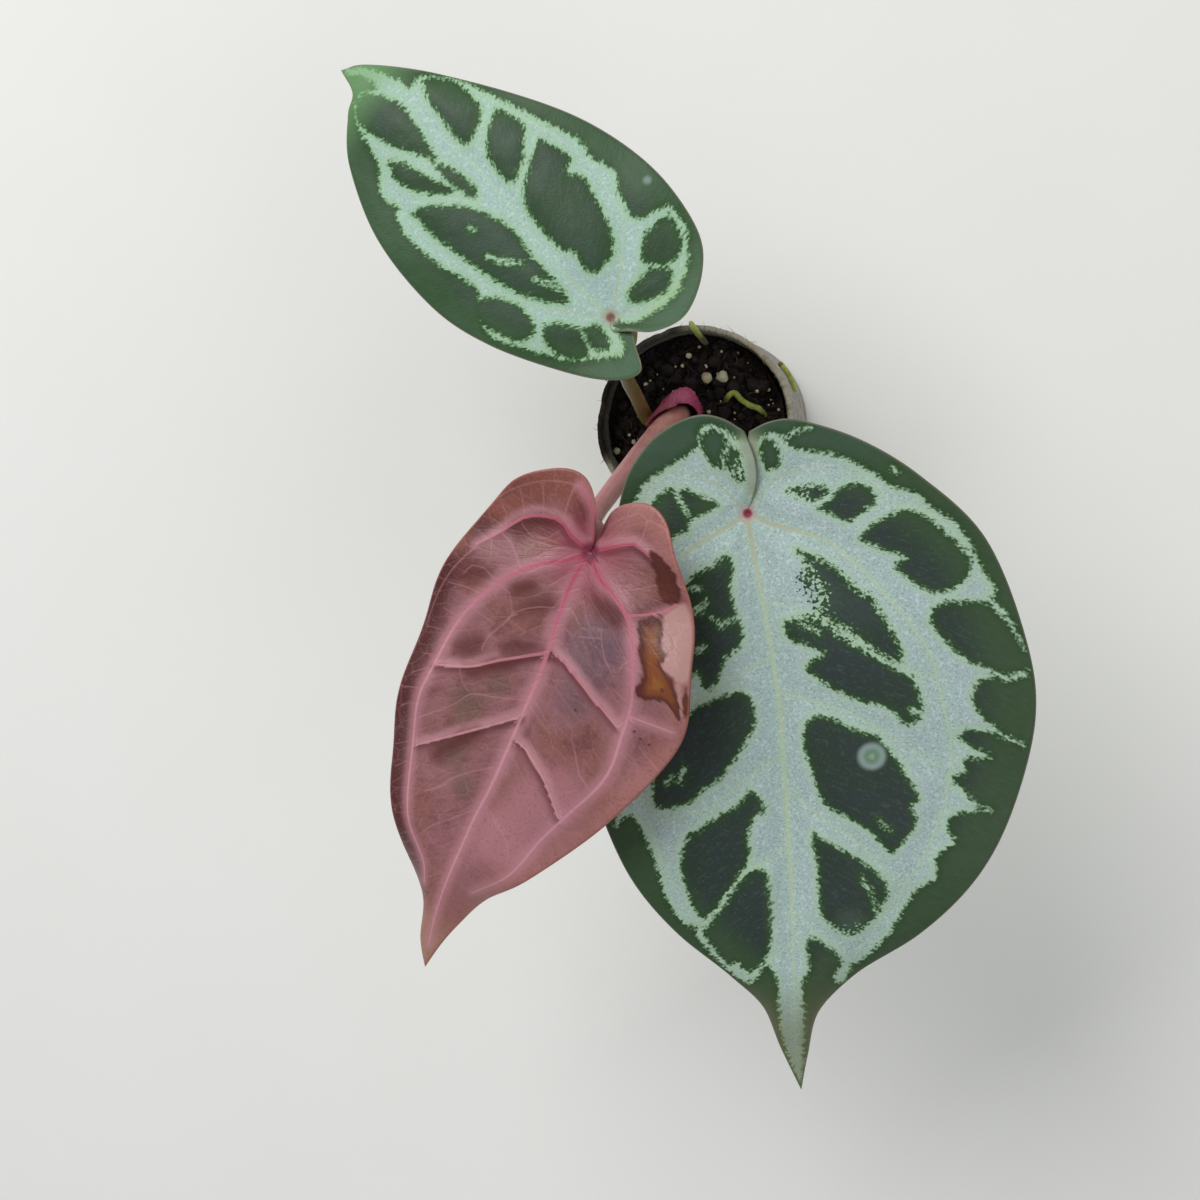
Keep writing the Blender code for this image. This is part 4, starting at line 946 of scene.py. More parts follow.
small_skin = silver_leaf("velvet_leaf_small", {
    "patch": "#364939", "patch_other": "#2f4829", "patch_edge": "#2b4a22", "outer": "#3b5737",
    "fleck": "#4a6350", "lobe": "#3f6343", "fringe": "#4f8040",
    "cool": "#a9c1be", "mint": "#a6c2b3", "shade": "#90aba2",
    "glint": "#c2d8d2", "pale_edge": "#9cc296", "rib": "#b2cf9c", "rib_base": "#a9b592", "halo": "#a3988a",
    "junction": "#7d5650", "margin": "#7d7a62", "tip": "#76a66c", "tip_from": 0.8, "tip_share": 0.6,
    "lobe_share": 0.45, "rib_share": 0.4, "sheen": "#b8ccc0", "outer_from": 5.5})
green_underside = leaf_underside("leaf_underside_green", "#7d9a6c", "#6a8a60", "#a8b98a")
leaf_piece = make_blade(
    "leaf_blade_small", SMALL_LEAF, SMALL_RIBS,
    {"silver": silver_field(SMALL_ZONE, SMALL_PATCHES, SMALL_THREADS),
     "veil": spots_field([(8.6, 26.4, 1.6, 0.35)]), "drop": spots_field([(17.1, 8.3, 1.1, 0.6)]),
     "seam": spots_field([])},
    (small_skin, green_underside))
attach(leaf_piece, "root")
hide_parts("blade_small")


# The large green leaf
# The same kind of blade at twice the size, arching down to a long drip tip. Its left lobe lies over
# its right one, and the silver is broader and bluer, with speckled patches between the ribs.
LARGE_LEAF = {
    "foot": (12.3, -11.7, 80.0), "heading": -85.1, "pitch": 8.0, "roll": 0.0,
    "spine": [(0, 0), (-1.2, 13), (-2.0, 26), (-1.4, 49), (-0.3, 73), (0, 84.4)],
    "right": [(-0.8, -11.4), (1.9, -13.3), (5.0, -14.0), (8.8, -12.9), (12.7, -10.2), (16.3, -4.7),
              (19.8, 8.0), (23.7, 22.8), (25.3, 35.8), (22.1, 48.5), (15.6, 59.3), (8.4, 66.6),
              (4.4, 71.0), (2.4, 77.5), (0, 84.4)],
    "left": [(-1.4, -11.3), (-4.4, -12.4), (-8.1, -12.2), (-15.7, -8.9), (-23.1, -3.5), (-30.8, 5.3),
             (-35.2, 18.9), (-36.0, 30.0), (-32.6, 42.6), (-27.2, 52.3), (-18.5, 61.0),
             (-9.1, 66.8), (-3.6, 72.2), (-1.4, 79.0), (0, 84.4)],
    "cells": (240, 78), "arch": 3.2, "fold": 1.0, "lobe_lift": 0.8, "droop": 3.0,
    "waves": (0.5, 4.5, 1.2), "pucker": 0.55, "swells": [],
    "overlap": (-1.6, 0.6, 0.5),
}
LARGE_RIBS = [
    [(0, 0, 0.24), (-0.2, 3.4, 0.24), (-1.1, 11.6, 0.24), (-2.1, 24, 0.28), (-2, 34, 0.28),
     (-1.8, 42.6, 0.28), (-1.5, 52.7, 0.24), (-1, 61.6, 0.14), (0, 75, 0.1), (0.1, 82, 0.07)],
    [(0, 0, 0.2), (-3.1, 1.5, 0.2), (-6.5, 2.6, 0.2), (-10.1, 4.2, 0.2), (-13.1, 6.7, 0.18),
     (-16.2, 10.3, 0.18), (-19.8, 15.2, 0.16), (-22.7, 20.5, 0.16), (-23.9, 27.6, 0.14),
     (-24.6, 33, 0.13), (-23.6, 40, 0.12), (-20.6, 47.5, 0.11), (-16.6, 53.6, 0.1), (-9.6, 63.2, 0.08),
     (-7.4, 66.6, 0.06)],
    [(0, 0, 0.2), (3.9, 2, 0.2), (9, 4.6, 0.2), (11.4, 8.2, 0.18), (13.8, 13.5, 0.18), (17, 24.6, 0.16),
     (18.6, 33.2, 0.14), (17, 45, 0.12), (12.2, 58.6, 0.08), (6.6, 66.6, 0.06)],
    [(0, 0, 0.08), (-3, -3.6, 0.08), (-7.6, -5.6, 0.08), (-11.4, -5.2, 0.08), (-16, -3.9, 0.08),
     (-19.4, -0.2, 0.08), (-24, 1.6, 0.08), (-28.5, 6.5, 0.07), (-32, 14.6, 0.06)],
    [(0, 0, 0.07), (3.6, -4.4, 0.07), (8.8, -6.4, 0.07), (13.2, -3.6, 0.07), (17.6, 6, 0.07),
     (18.2, 12, 0.06)],
    [(-1.2, 12, 0.1), (-5, 12.6, 0.1), (-8.7, 14.1, 0.1), (-12.4, 16.8, 0.1), (-22.5, 24, 0.09)],
    [(-2, 24, 0.12), (-7.6, 26, 0.11), (-12.8, 28.4, 0.11), (-22.4, 36, 0.09)],
    [(-1.8, 38, 0.11), (-6.3, 41.8, 0.1), (-11.4, 46.4, 0.1), (-16.4, 52.5, 0.08)],
    [(-1.2, 55.6, 0.09), (-5.2, 59.4, 0.08), (-8.6, 62.6, 0.07)],
    [(-2.1, 19, 0.11), (2.4, 21.2, 0.1), (11, 25.2, 0.1), (16.8, 24.8, 0.09)],
    [(-2, 33, 0.11), (4, 36.6, 0.1), (9, 40.2, 0.1), (17.6, 42.4, 0.08)],
    [(-1.2, 46.6, 0.1), (5.9, 50.9, 0.09), (8.4, 54.5, 0.08), (11.8, 58.2, 0.07)],
    [(-0.8, 60.6, 0.08), (3, 63.4, 0.07), (6.3, 66.2, 0.06)],
]
LARGE_ZONE = [
    (-2.4, -9.9), (-3.7, -10.7), (-5.4, -10.6), (-6.1, -9.2), (-7.8, -8.2), (-12.7, -6.9), (-16.7, -4.6),
    (-19.5, -2.2), (-22.5, -1.1), (-24.1, 0.8), (-26.9, 2.9), (-28.9, 6.3), (-30.3, 10), (-31.9, 13),
    (-29.4, 13.9), (-25.2, 13.5), (-23.3, 14.5), (-23.5, 17.1), (-27.4, 21.5), (-31.3, 23.9),
    (-28.9, 24.4), (-27.8, 27.1), (-28.8, 29.4), (-30.8, 31.8), (-26.7, 31.2), (-25.9, 32.8),
    (-29.6, 35.5), (-26.2, 35.5), (-26.2, 37.6), (-24.2, 38.2), (-27.7, 42.5), (-24.5, 43.1), (-23.2, 45),
    (-24.1, 47.1), (-21.4, 49.1), (-21.3, 51.9), (-18.2, 54.1), (-14.4, 60.1), (-10.4, 64.2),
    (-8.8, 64.8), (-7.2, 67.9), (-6.2, 66.3), (-7.6, 63.7), (-4.4, 59.9), (-2.9, 60.8), (-2.9, 64.3),
    (-1.7, 67.1), (-1.5, 73.2), (-0.4, 81.6), (0.2, 82.8), (1.7, 76.3), (1.9, 70.9), (1.6, 66.1),
    (3, 63.6), (4.9, 66.3), (6.7, 66.9), (9.9, 63.9), (12.3, 60.2), (12.7, 57.5), (13.8, 58.1),
    (16.3, 53.6), (17.1, 48.5), (19.9, 41.2), (22.6, 43), (20.6, 37), (22.4, 31), (20.4, 26),
    (21.4, 20.6), (18.6, 14), (19, 8.6), (17.4, 3), (13.8, -4.7), (9.8, -7.2), (5.5, -9.9), (5.2, -12.2),
    (3.3, -12.5), (1.7, -11.6), (-0.7, -9.9),
]
LARGE_PATCHES = [
    [(5.2, -11.2), (3.8, -11.9), (2.2, -11.7), (1.1, -9.6), (0.2, -9.2), (-0.2, -7.9), (0.5, -7.6),
     (0, -4.6), (1, -4.9), (1.9, -6.5), (3.1, -6.3), (4.3, -7.7), (5, -9.1)],
    [(12.7, -2.5), (10.7, -4.1), (9.5, -4.6), (9.2, -3.6), (8, -4.2), (5.8, -3), (3.6, -1.5), (7.5, 0.2),
     (7.9, 1.7), (9.2, 1.7), (12.2, 3.8), (14, 1.6)],
    [(-2.5, -9.2), (-3.7, -10.1), (-4.5, -10), (-5.3, -6.9), (-4.6, -6.2), (-3.2, -5.7), (-2.7, -7)],
    [(-5.6, -2.8), (-6.8, -3.1), (-8.8, -3.3), (-10.9, -2.8), (-10.9, -2), (-9.1, -1.2), (-7.4, -2)],
    [(-9.3, -0.2), (-11.7, -1.7), (-12.2, -2.6), (-15.2, -3.1), (-16.9, -2), (-17.1, -0.3), (-15.8, 0.5),
     (-13.3, 2), (-11.9, 1.2)],
    [(-14.5, 4.2), (-16.5, 2.4), (-20.9, 0.9), (-23.9, 2.4), (-28, 6.8), (-28.9, 8.6), (-27.8, 11.1),
     (-23.8, 12.2), (-18.9, 8.4), (-20.4, 7.2), (-17.2, 5.8)],
    [(13.2, 4.2), (15.8, 2.5), (17.5, 5.5), (18.6, 10), (18.9, 14.5), (17.2, 13), (15.6, 9.6)],
    [(-6, 4.9), (-10.5, 7.2), (-14.5, 11.5), (-15.5, 12), (-19.1, 19.5), (-17.8, 21), (-13.7, 17.6),
     (-9.7, 14.8), (-8.8, 13.4), (-9.4, 10.1), (-8.2, 8.6), (-7.3, 6.7)],
    [(-3.9, 14.4), (-6.2, 14.1), (-8.5, 14.4), (-12, 17.6), (-18.4, 22.2), (-20.3, 23.6), (-21.2, 28.3),
     (-19, 29.9), (-16.8, 27.4), (-11.3, 25.2), (-6.4, 21.2), (-7.3, 19.8), (-8.9, 19), (-6.3, 17.8),
     (-4, 16.6)],
    [(-5.6, 28.7), (-5, 31), (-5.7, 35.4), (-7, 39.8), (-8.7, 41.6), (-12.5, 44.1), (-15, 47.5),
     (-15.8, 48), (-19.3, 44), (-18.6, 41.5), (-19.8, 39.8), (-15.4, 31.7), (-13.1, 30.5), (-7.7, 27.6)],
    [(6.6, 6.6), (5, 6.4), (3.1, 4.9), (2.4, 7), (2.9, 10.1), (1.8, 16.5), (4.1, 18.7), (5.8, 22),
     (7.5, 23.3), (8.6, 21.1), (10, 21.6), (12.2, 18.4), (11.6, 13), (9.4, 9)],
    [(9.4, 25.6), (2.7, 23.7), (1.1, 27.2), (2.1, 29.9), (6.8, 36), (9.3, 37.4), (10.9, 39.1),
     (15.7, 40.3), (16.5, 37.9), (14.6, 30), (11, 27.4)],
    [(4.3, 39.5), (2.9, 37.7), (1.9, 38.3), (0.9, 40.8), (2.6, 41.7), (3.8, 44.8), (3.8, 47.6),
     (8.1, 53.6), (11.6, 56.8), (13.6, 49.5), (12.4, 44.6), (10.3, 43), (6.7, 40.8)],
    [(4.5, 49.8), (1.9, 49.3), (1.4, 53.2), (2.3, 61.4), (5.4, 65.1), (7.2, 63.7), (8.8, 64.2),
     (11.5, 59.7), (11.5, 58.7), (8.7, 55.4), (6, 51.6)],
    [(-5.2, 44.2), (-11.3, 48.6), (-14.6, 52.5), (-13.5, 56.4), (-10.4, 59.3), (-8.6, 59.6), (-5.4, 56.1),
     (-5.4, 49), (-4.9, 45.2)],
]
LARGE_THREADS = [
    [(-8.7, 14.1, 0.21), (-12.4, 16.8, 0.42), (-13.4, 17.9, 0.62), (-14.9, 19.3, 0.28),
     (-18.6, 22.3, 0.22)],
    [(-6.1, 14.8, 0.12), (-8.5, 16.3, 0.12)], [(-14.3, 43, 0.14), (-15.6, 44.9, 0.14)],
    [(1.5, -9.8, 0.21), (2.3, -7.8, 0.21), (2.4, -6.3, 0.17)], [(9.2, -3.6, 0.21), (7.8, -0.5, 0.21)],
    [(8.5, 12.4, 0.28), (7.2, 11.9, 0.35), (6.3, 10.8, 0.21)],
    [(5.9, 13.1, 0.21), (5.2, 14.4, 0.28), (2.4, 13.4, 0.21)], [(8.3, 9.2, 0.21), (7.1, 9.1, 0.21)],
    [(8.1, 17.9, 0.21), (7.1, 16.9, 0.21)], [(8.5, 20.9, 0.28), (8.4, 22.9, 0.21)],
    [(4.2, 18.9, 0.21), (2.8, 18.3, 0.21)], [(11.6, 34.4, 0.28), (12.5, 36.3, 0.21)],
    [(13.3, 35.7, 0.21), (14.4, 36.3, 0.21)],
    [(-11.2, 51.1, 0.14), (-11.8, 52.4, 0.18), (-12.6, 53.8, 0.14)],
    [(-12.2, 53, 0.14), (-12.9, 56.5, 0.14)], [(-19.8, 27.8, 0.35), (-20.3, 28.4, 0.35)],
    [(-30.4, 13.4, 0.42), (-32.2, 15.5, 0.35), (-33.4, 17.2, 0.21), (-35, 20.9, 0.07)],
    [(-28.8, 22.6, 0.28), (-31.3, 23.9, 0.22), (-33.4, 24.7, 0.42), (-35, 24.2, 0.28)],
    [(-28.5, 30.4, 0.28), (-29.8, 31.5, 0.21), (-34.1, 34.2, 0.11)],
    [(-25.8, 33.2, 0.28), (-29.7, 35.7, 0.14)], [(-27.2, 42.3, 0.28), (-29.3, 43.1, 0.17)],
    [(-6.2, -10.1, 0.21), (-8.2, -11.1, 0.21), (-9.4, -11.2, 0.11)],
    [(-19.7, -4.6, 0.28), (-19.9, -4.3, 0.28)],
]
large_skin = silver_leaf("velvet_leaf_large", {
    "patch": "#2c3635", "patch_other": "#27382a", "patch_edge": "#28451e", "outer": "#38502f",
    "fleck": "#4c6052", "lobe": "#40584a", "fringe": "#47703a",
    "cool": "#a9bbba", "mint": "#a9c2b5", "shade": "#869c97",
    "glint": "#c4d4d1", "pale_edge": "#a8c5a4", "rib": "#b6c69c", "rib_base": "#aca890", "halo": "#b98c8c",
    "junction": "#7e1a36", "margin": "#74705c", "tip": "#6b6a48", "tip_from": 0.76, "tip_share": 0.6,
    "lobe_share": 0.0, "rib_share": 0.68, "sheen": "#b8ccc0", "outer_from": 9.0})
leaf_piece = make_blade(
    "leaf_blade_large", LARGE_LEAF, LARGE_RIBS,
    {"silver": silver_field(LARGE_ZONE, LARGE_PATCHES, LARGE_THREADS),
     "veil": spots_field([(-6.6, 8.6, 2.2, 0.8), (-8.2, 11.4, 2.4, 0.6), (-13.0, 14.5, 6.0, 0.28),
                          (0.4, -5.9, 1.3, 0.7), (-7.5, -2.2, 1.5, 0.6), (-9.2, 57.7, 2.2, 0.6)]),
     "drop": spots_field([(-14.0, 33.9, 1.9, 1.3)]),
     "seam": spots_field([(-1.4, -9.4, 1.5, 0.8), (-2.0, -6.6, 1.5, 0.8), (-1.2, -3.6, 1.3, 0.7)])},
    (large_skin, green_underside))
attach(leaf_piece, "root")
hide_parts("blade_large")


# The new leaf
# Freshly unrolled and still soft, so it is coppery and mauve rather than green. Rose-coloured veins
# stand up from it, and the margin on the picture's right is scorched brown and bleached in places.
NEW_LEAF = {
    "foot": (-8.0, -16.5, 86.0), "heading": -112.7, "pitch": 10.0, "roll": -12.0,
    "spine": [(0, 0), (-0.7, 8), (-0.4, 21), (0.8, 40), (2.2, 53), (1.2, 68.2)],
    "right": [(0.2, -3.4), (1.2, -6.6), (4.4, -9.3), (8.6, -8.4), (13.7, -3.8), (17.8, 5.6),
              (19.5, 15.4), (19.2, 29.6), (16.7, 42.9), (10.8, 51.8), (5.4, 58.8), (3.2, 64.2),
              (1.2, 68.2)],
    "left": [(-0.7, -3.4), (-1.6, -7.4), (-5.2, -9.7), (-8.8, -9.0), (-12.0, -5.3), (-18.2, 4.7),
             (-21.5, 14.3), (-20.4, 23.0), (-16.3, 33.7), (-9.2, 46.4), (-3.8, 53.6),
             (-1.0, 60.0), (1.2, 68.2)],
    "cells": (210, 64), "arch": 2.6, "fold": 1.1, "lobe_lift": 1.4, "droop": 2.6,
    "waves": (0.8, 5.0, 2.6), "pucker": -0.25, "swells": [(-17.5, 9.0, 5.0, 1.4)],
    "overlap": (0.0, 0.0, 0.0),
}
NEW_MIDRIB = [
    (0, 0, 0.2), (0.6, 4.9, 0.2), (0.3, 10, 0.2), (-0.2, 16, 0.18), (0, 24, 0.16), (0.3, 31, 0.15),
    (0.6, 36.7, 0.13), (1.3, 43, 0.11), (1.9, 57, 0.07), (1.5, 64, 0.05),
]
NEW_COLLECTORS = [
    [(0, 0, 0.2), (2.3, 2.3, 0.2), (4.9, 3.8, 0.18), (7.9, 6.6, 0.16), (11.4, 11.5, 0.14),
     (14.2, 18.3, 0.13), (15.1, 25.8, 0.12), (15.3, 31, 0.12), (13.2, 40.8, 0.11), (10.5, 47.2, 0.09),
     (6.3, 51.7, 0.08), (5.2, 55.3, 0.06)],
    [(0, 0, 0.2), (-2.6, 2.3, 0.2), (-6.1, 3.5, 0.18), (-10.2, 6.7, 0.16), (-13.3, 13.9, 0.14),
     (-14, 20, 0.13), (-14.2, 27, 0.12), (-11, 34.7, 0.12), (-8.7, 40.2, 0.11), (-6.6, 46.8, 0.1),
     (-2.2, 52.7, 0.08)],
]
NEW_LATERALS = [
    [(0, 0, 0.18), (2.9, -0.9, 0.16), (5.4, -2.3, 0.14), (9.9, -0.6, 0.13), (13, 3.4, 0.08),
     (15.6, 6.4, 0.04)],
    [(0, 0, 0.18), (-3.3, -2.5, 0.14), (-5.7, -4.1, 0.13), (-7.2, -4, 0.13), (-10, -3, 0.12),
     (-13.2, -0.4, 0.1)],
    [(0.2, 15.1, 0.12), (5.7, 18.9, 0.12), (9.3, 21.8, 0.11), (14.5, 24.4, 0.1)],
    [(0.5, 25.3, 0.12), (5.9, 30.1, 0.11), (13.2, 36.6, 0.1)],
    [(-1.6, 14.6, 0.11), (-4.1, 15.1, 0.11), (-8.6, 17.3, 0.1), (-12.9, 19.5, 0.09)],
    [(-0.8, 28.5, 0.1), (-3, 28.9, 0.1), (-6.5, 31.4, 0.1), (-10, 35.8, 0.08)],
    [(-9.1, 4.7, 0.1), (-12.2, 3, 0.09), (-13.8, 1, 0.08)],
    [(-14.3, 17.5, 0.09), (-16.8, 17.3, 0.09), (-19.8, 17, 0.08)],
    [(0, 0, 0.16), (0.3, -2.8, 0.14), (0.8, -4.8, 0.12), (1.8, -6.2, 0.1), (4.1, -7.8, 0.08)],
]
NEW_THREADS = [
    [(15.2, 6.2, 0.2), (17.4, 11, 0.16), (18.6, 16, 0.14), (19.1, 21, 0.1)],
    [(4.1, -7.8, 0.17), (5.2, -7.7, 0.14), (7.5, -7.1, 0.14), (10, -5.8, 0.14), (13.4, -2.9, 0.14),
     (15.2, -0.6, 0.11)],
    [(4.9, -3.3, 0.18), (5, -6, 0.17), (4.8, -7.6, 0.14)],
    [(7.7, -1.8, 0.11), (8.3, -4, 0.11), (9, -6, 0.11)], [(10.4, -0.6, 0.11), (12, -3.8, 0.11)],
    [(12.5, 2.2, 0.11), (13.2, 0.5, 0.1), (14.6, -0.4, 0.08)],
    [(10.1, 0.9, 0.1), (9.4, 1.6, 0.1), (7, 1.6, 0.11), (6, 0.8, 0.08), (4.9, -0.8, 0.08)],
    [(12.4, 3.3, 0.18), (11.2, 3.4, 0.18), (9.3, 4.7, 0.18), (8.4, 5.1, 0.21), (7.7, 5.9, 0.21)],
    [(13.5, 4.9, 0.1), (12.7, 6.5, 0.1)],
    [(15.6, 10.7, 0.11), (15.1, 9.3, 0.11), (13.3, 8.4, 0.11), (10.9, 9.1, 0.11)],
    [(17.3, 13, 0.12), (13.8, 12.1, 0.12), (12.3, 11.9, 0.12)], [(16.7, 16.9, 0.1), (14.1, 16.7, 0.1)],
    [(6.3, 12, 0.21), (7.1, 14, 0.21), (8.9, 17.4, 0.17), (8.9, 18.8, 0.14)],
    [(6.3, 12, 0.14), (5.5, 11.1, 0.14), (3.3, 9.6, 0.14), (1.3, 8.8, 0.11)],
    [(11.3, 14.6, 0.11), (8.6, 14.8, 0.1)],
    [(0.6, 22.6, 0.11), (5.5, 24.4, 0.14), (7.9, 25.3, 0.14), (9.5, 27.7, 0.14), (11.7, 30.1, 0.11),
     (14.4, 32.7, 0.11)],
    [(10.9, 22.9, 0.1), (10.3, 24, 0.1), (8.8, 25.1, 0.1)],
    [(1.3, 33.6, 0.11), (4.5, 36.2, 0.18), (6.3, 38.2, 0.21), (7.5, 40.1, 0.18), (9.4, 41.9, 0.14)],
    [(1.5, 40.6, 0.08), (4.7, 44, 0.14), (6.8, 46.3, 0.14), (7.7, 47.8, 0.11)],
    [(5.1, 42.6, 0.08), (6.1, 44.2, 0.08)], [(9.6, 9.4, 0.1), (8.2, 9.5, 0.11), (6.9, 11.3, 0.08)],
    [(-6, 8.2, 0.1), (-6.8, 9.9, 0.12), (-8.6, 12.2, 0.14), (-9.9, 13.2, 0.11)],
    [(-3.7, 10.6, 0.1), (-6.1, 9.6, 0.1)], [(-11.4, 10.4, 0.12), (-10.6, 11.2, 0.12), (-10.5, 12.2, 0.1)],
    [(-10.8, 15, 0.11), (-12.8, 15.6, 0.11)],
    [(-7.8, 23.7, 0.11), (-9.5, 26.3, 0.18), (-10.6, 28.1, 0.18), (-12.3, 29.2, 0.14)],
    [(-1.6, 40.4, 0.12), (-3.4, 41.2, 0.17), (-4.6, 42.2, 0.17), (-5.7, 44.3, 0.14)],
    [(-6.2, 2.6, 0.11), (-8.7, 1.1, 0.12), (-10.9, -0.7, 0.11)],
    [(-1.4, -4.6, 0.11), (-3, -6.6, 0.14), (-5, -8.2, 0.14), (-6.2, -8.2, 0.14), (-6.6, -6.9, 0.15),
     (-6.4, -4.6, 0.14)],
    [(-6.2, -8, 0.11), (-8.3, -8.2, 0.14), (-10, -7.7, 0.14), (-12.5, -3.9, 0.11)],
    [(-1.4, -4.6, 0.11), (-0.8, -0.8, 0.11)], [(-11.6, 8.4, 0.1), (-13.8, 7.3, 0.11), (-14.9, 7.4, 0.1)],
    [(-12.6, 11, 0.21), (-14.7, 10.2, 0.14)], [(-16.8, 21.1, 0.11), (-19.8, 23, 0.1)],
    [(18.6, 30.1, 0.08), (16.5, 29, 0.08)], [(18, 27.6, 0.08), (16, 25.7, 0.08)],
    [(17.6, 24.4, 0.08), (15.5, 23.4, 0.08)], [(15.9, 42, 0.08), (14.1, 39.9, 0.08)],
    [(17.1, 39, 0.08), (15.1, 37.3, 0.08)], [(17.9, 32.9, 0.08), (16.2, 31.2, 0.08)],
    [(18.6, 20.8, 0.08), (16.3, 19.9, 0.08)],
]
NEW_SCORCH = [
    [(-8.5, -4.2), (-10.6, -4), (-12.3, -3), (-13.6, -0.8), (-14, 0.3), (-12.3, 1.4), (-11.1, 0.4),
     (-10, -1.4)],
    [(-10.5, 4.8), (-12.8, 3.5), (-14.8, 6.7), (-15.9, 7.2), (-15.7, 8.6), (-17.9, 9.5), (-19, 11.2),
     (-20.6, 14.8), (-17.8, 13.2), (-13.8, 14.2), (-14, 11.2), (-12.2, 8.2)],
    [(-19.9, 10), (-20.7, 11.3), (-21.4, 13.6), (-20.6, 14)],
]
NEW_BLEACHED = [
    (-13, 3.1), (-14.6, 0.4), (-15.9, 1.4), (-18.2, 4.9), (-19.7, 8.5), (-18.8, 9.7), (-16.5, 9),
    (-15.6, 8.4), (-15, 6.7), (-13.8, 5),
]
NEW_BLEACHED_LINE = [(-18.9, 10, 0.28), (-19.7, 11.8, 0.33), (-20.3, 14.1, 0.28)]
NEW_DARK = [
    [(-3.1, 5.2), (-4.6, 4.6), (-6.8, 4.8), (-8.2, 6), (-4.8, 6.2)],
    [(11.3, 1.9), (10.7, 0.5), (8.3, -0.9), (6, -1.7), (6.1, -1), (8.5, 0.3), (9.9, 1.9)],
    [(15.4, 11.2), (14.9, 9.6), (13.2, 8.7), (12, 8.9), (14.4, 11)],
    [(7.7, 8.9), (6.1, 7.6), (4.9, 7.4), (6.8, 9.2)],
    [(4.7, 9.7), (2.9, 8.4), (1.6, 8), (1.5, 8.9), (5.8, 11.9)],
    [(5.9, 16.7), (4, 15.1), (0.1, 14.4), (1.6, 15.7), (4.9, 17.9)],
    [(12.1, 20.7), (11.2, 19.2), (9.6, 18.1), (9.5, 19.2), (11.1, 20.7)],
    [(9.4, 22.7), (7.1, 20.3), (4.1, 18.3), (7.8, 22.2)],
    [(10, 34.9), (8.1, 32.7), (5.1, 30.1), (7.6, 33.9), (9.8, 36.8)],
]
NEW_DARK_LINE = [(-10, 3.7, 0.14), (-11.8, 1.8, 0.28), (-14, 0.3, 0.21)]


def painted_vein_light_and_shade(veins):
    """Painted light and shade: above nothing on each vein's tipward side, for shade, and below it on the
    other, for a highlight.
    """
    def find(x, y):
        shade = np.zeros(x.shape)
        for vein in veins:
            away, side, width = along_vein(smooth_vein(vein), x, y)
            shade += side * math.copysign(1, vein[-1][0]) * np.exp(-(away / 1.3) ** 2) * width / 0.12
        return shade
    return find


new_skin, tree, shader = new_material("satin_new_leaf", Roughness=0.4, Specular_IOR_Level=0.45,
                                      Subsurface_Weight=0.08, Subsurface_Scale=0.0006,
                                      Subsurface_Radius=(1.0, 0.35, 0.3))
# Soft young leaf skin with a satin gloss: red pigment over little green, so it looks coppery and mauve,
# rose where it thins over a vein, with painted shade on the tip side of the side veins and a painted
# highlight on their base side.
field = {name: add_node(tree, "ShaderNodeAttribute", output=2, attribute_name=name)
         for name in ("glow", "thread_away", "thread_side", "scorch", "bleached", "dark", "shaded", "grey",
                      "olive", "rosy", "rusty", "marks", "left_side", "rib_away", "rib_side", "margin",
                      "stalk_away", "tipward")}
place = add_node(tree, "ShaderNodeTexCoord", output="Object")
weave = add_node(tree, "ShaderNodeAttribute", output=1, attribute_name="weave")
crosswise = add_node(tree, "ShaderNodeVectorMath", {0: weave, 1: (0.45, 1.0, 5.0)}, operation="MULTIPLY")
speckle = add_node(tree, "ShaderNodeTexNoise", {"Vector": place, "Scale": 1 / (0.35 * MM), "Detail": 2.0})
cloud = add_node(tree, "ShaderNodeTexNoise", {"Vector": place, "Scale": 1 / (5 * MM), "Detail": 4.0})
streak = add_node(tree, "ShaderNodeTexNoise", {"Vector": crosswise, "Scale": 0.8, "Detail": 4.0})
bent = add_node(tree, "ShaderNodeMix", {0: 0.35, 4: crosswise, 5: cloud}, 1, data_type="VECTOR")
net = add_node(tree, "ShaderNodeTexVoronoi", {"Vector": bent, "Scale": 0.7}, feature="DISTANCE_TO_EDGE")
off_rib = add_node(tree, "ShaderNodeMath", {0: field["rib_side"]}, operation="ABSOLUTE")
near_rib = add_node(tree, "ShaderNodeMapRange", {0: field["rib_away"], 1: 0.9, 2: 0.5, 4: 0.7})
near_core = add_node(tree, "ShaderNodeMapRange", {0: field["stalk_away"], 1: 26.0, 2: 5.0, 4: 0.85})
off_thread = add_node(tree, "ShaderNodeMath", {0: field["thread_side"]}, operation="ABSOLUTE")
near_thread = add_node(tree, "ShaderNodeMapRange", {0: field["thread_away"], 1: 0.6, 2: 0.3, 4: 0.27})
off_left = add_node(tree, "ShaderNodeMapRange", {0: field["left_side"], 1: 0.4, 2: 1.0, 4: 0.95})
painted_margin_highlight = add_node(tree, "ShaderNodeMapRange", {0: field["left_side"], 1: 0.5, 2: 0.0, 4: 0.6})
jagged = add_node(tree, "ShaderNodeMath", {0: streak, 1: 1.6, 2: field["scorch"]}, operation="MULTIPLY_ADD")
burnt = add_node(tree, "ShaderNodeMapRange", {0: jagged, 1: 0.3, 2: 0.9, 4: 0.9})
patchy = add_node(tree, "ShaderNodeTexNoise", {"Vector": place, "Scale": 1 / (9 * MM), "Detail": 2.0})
smudged = add_node(tree, "ShaderNodeMath", {0: cloud, 1: 3.6, 2: field["dark"]}, operation="MULTIPLY_ADD")
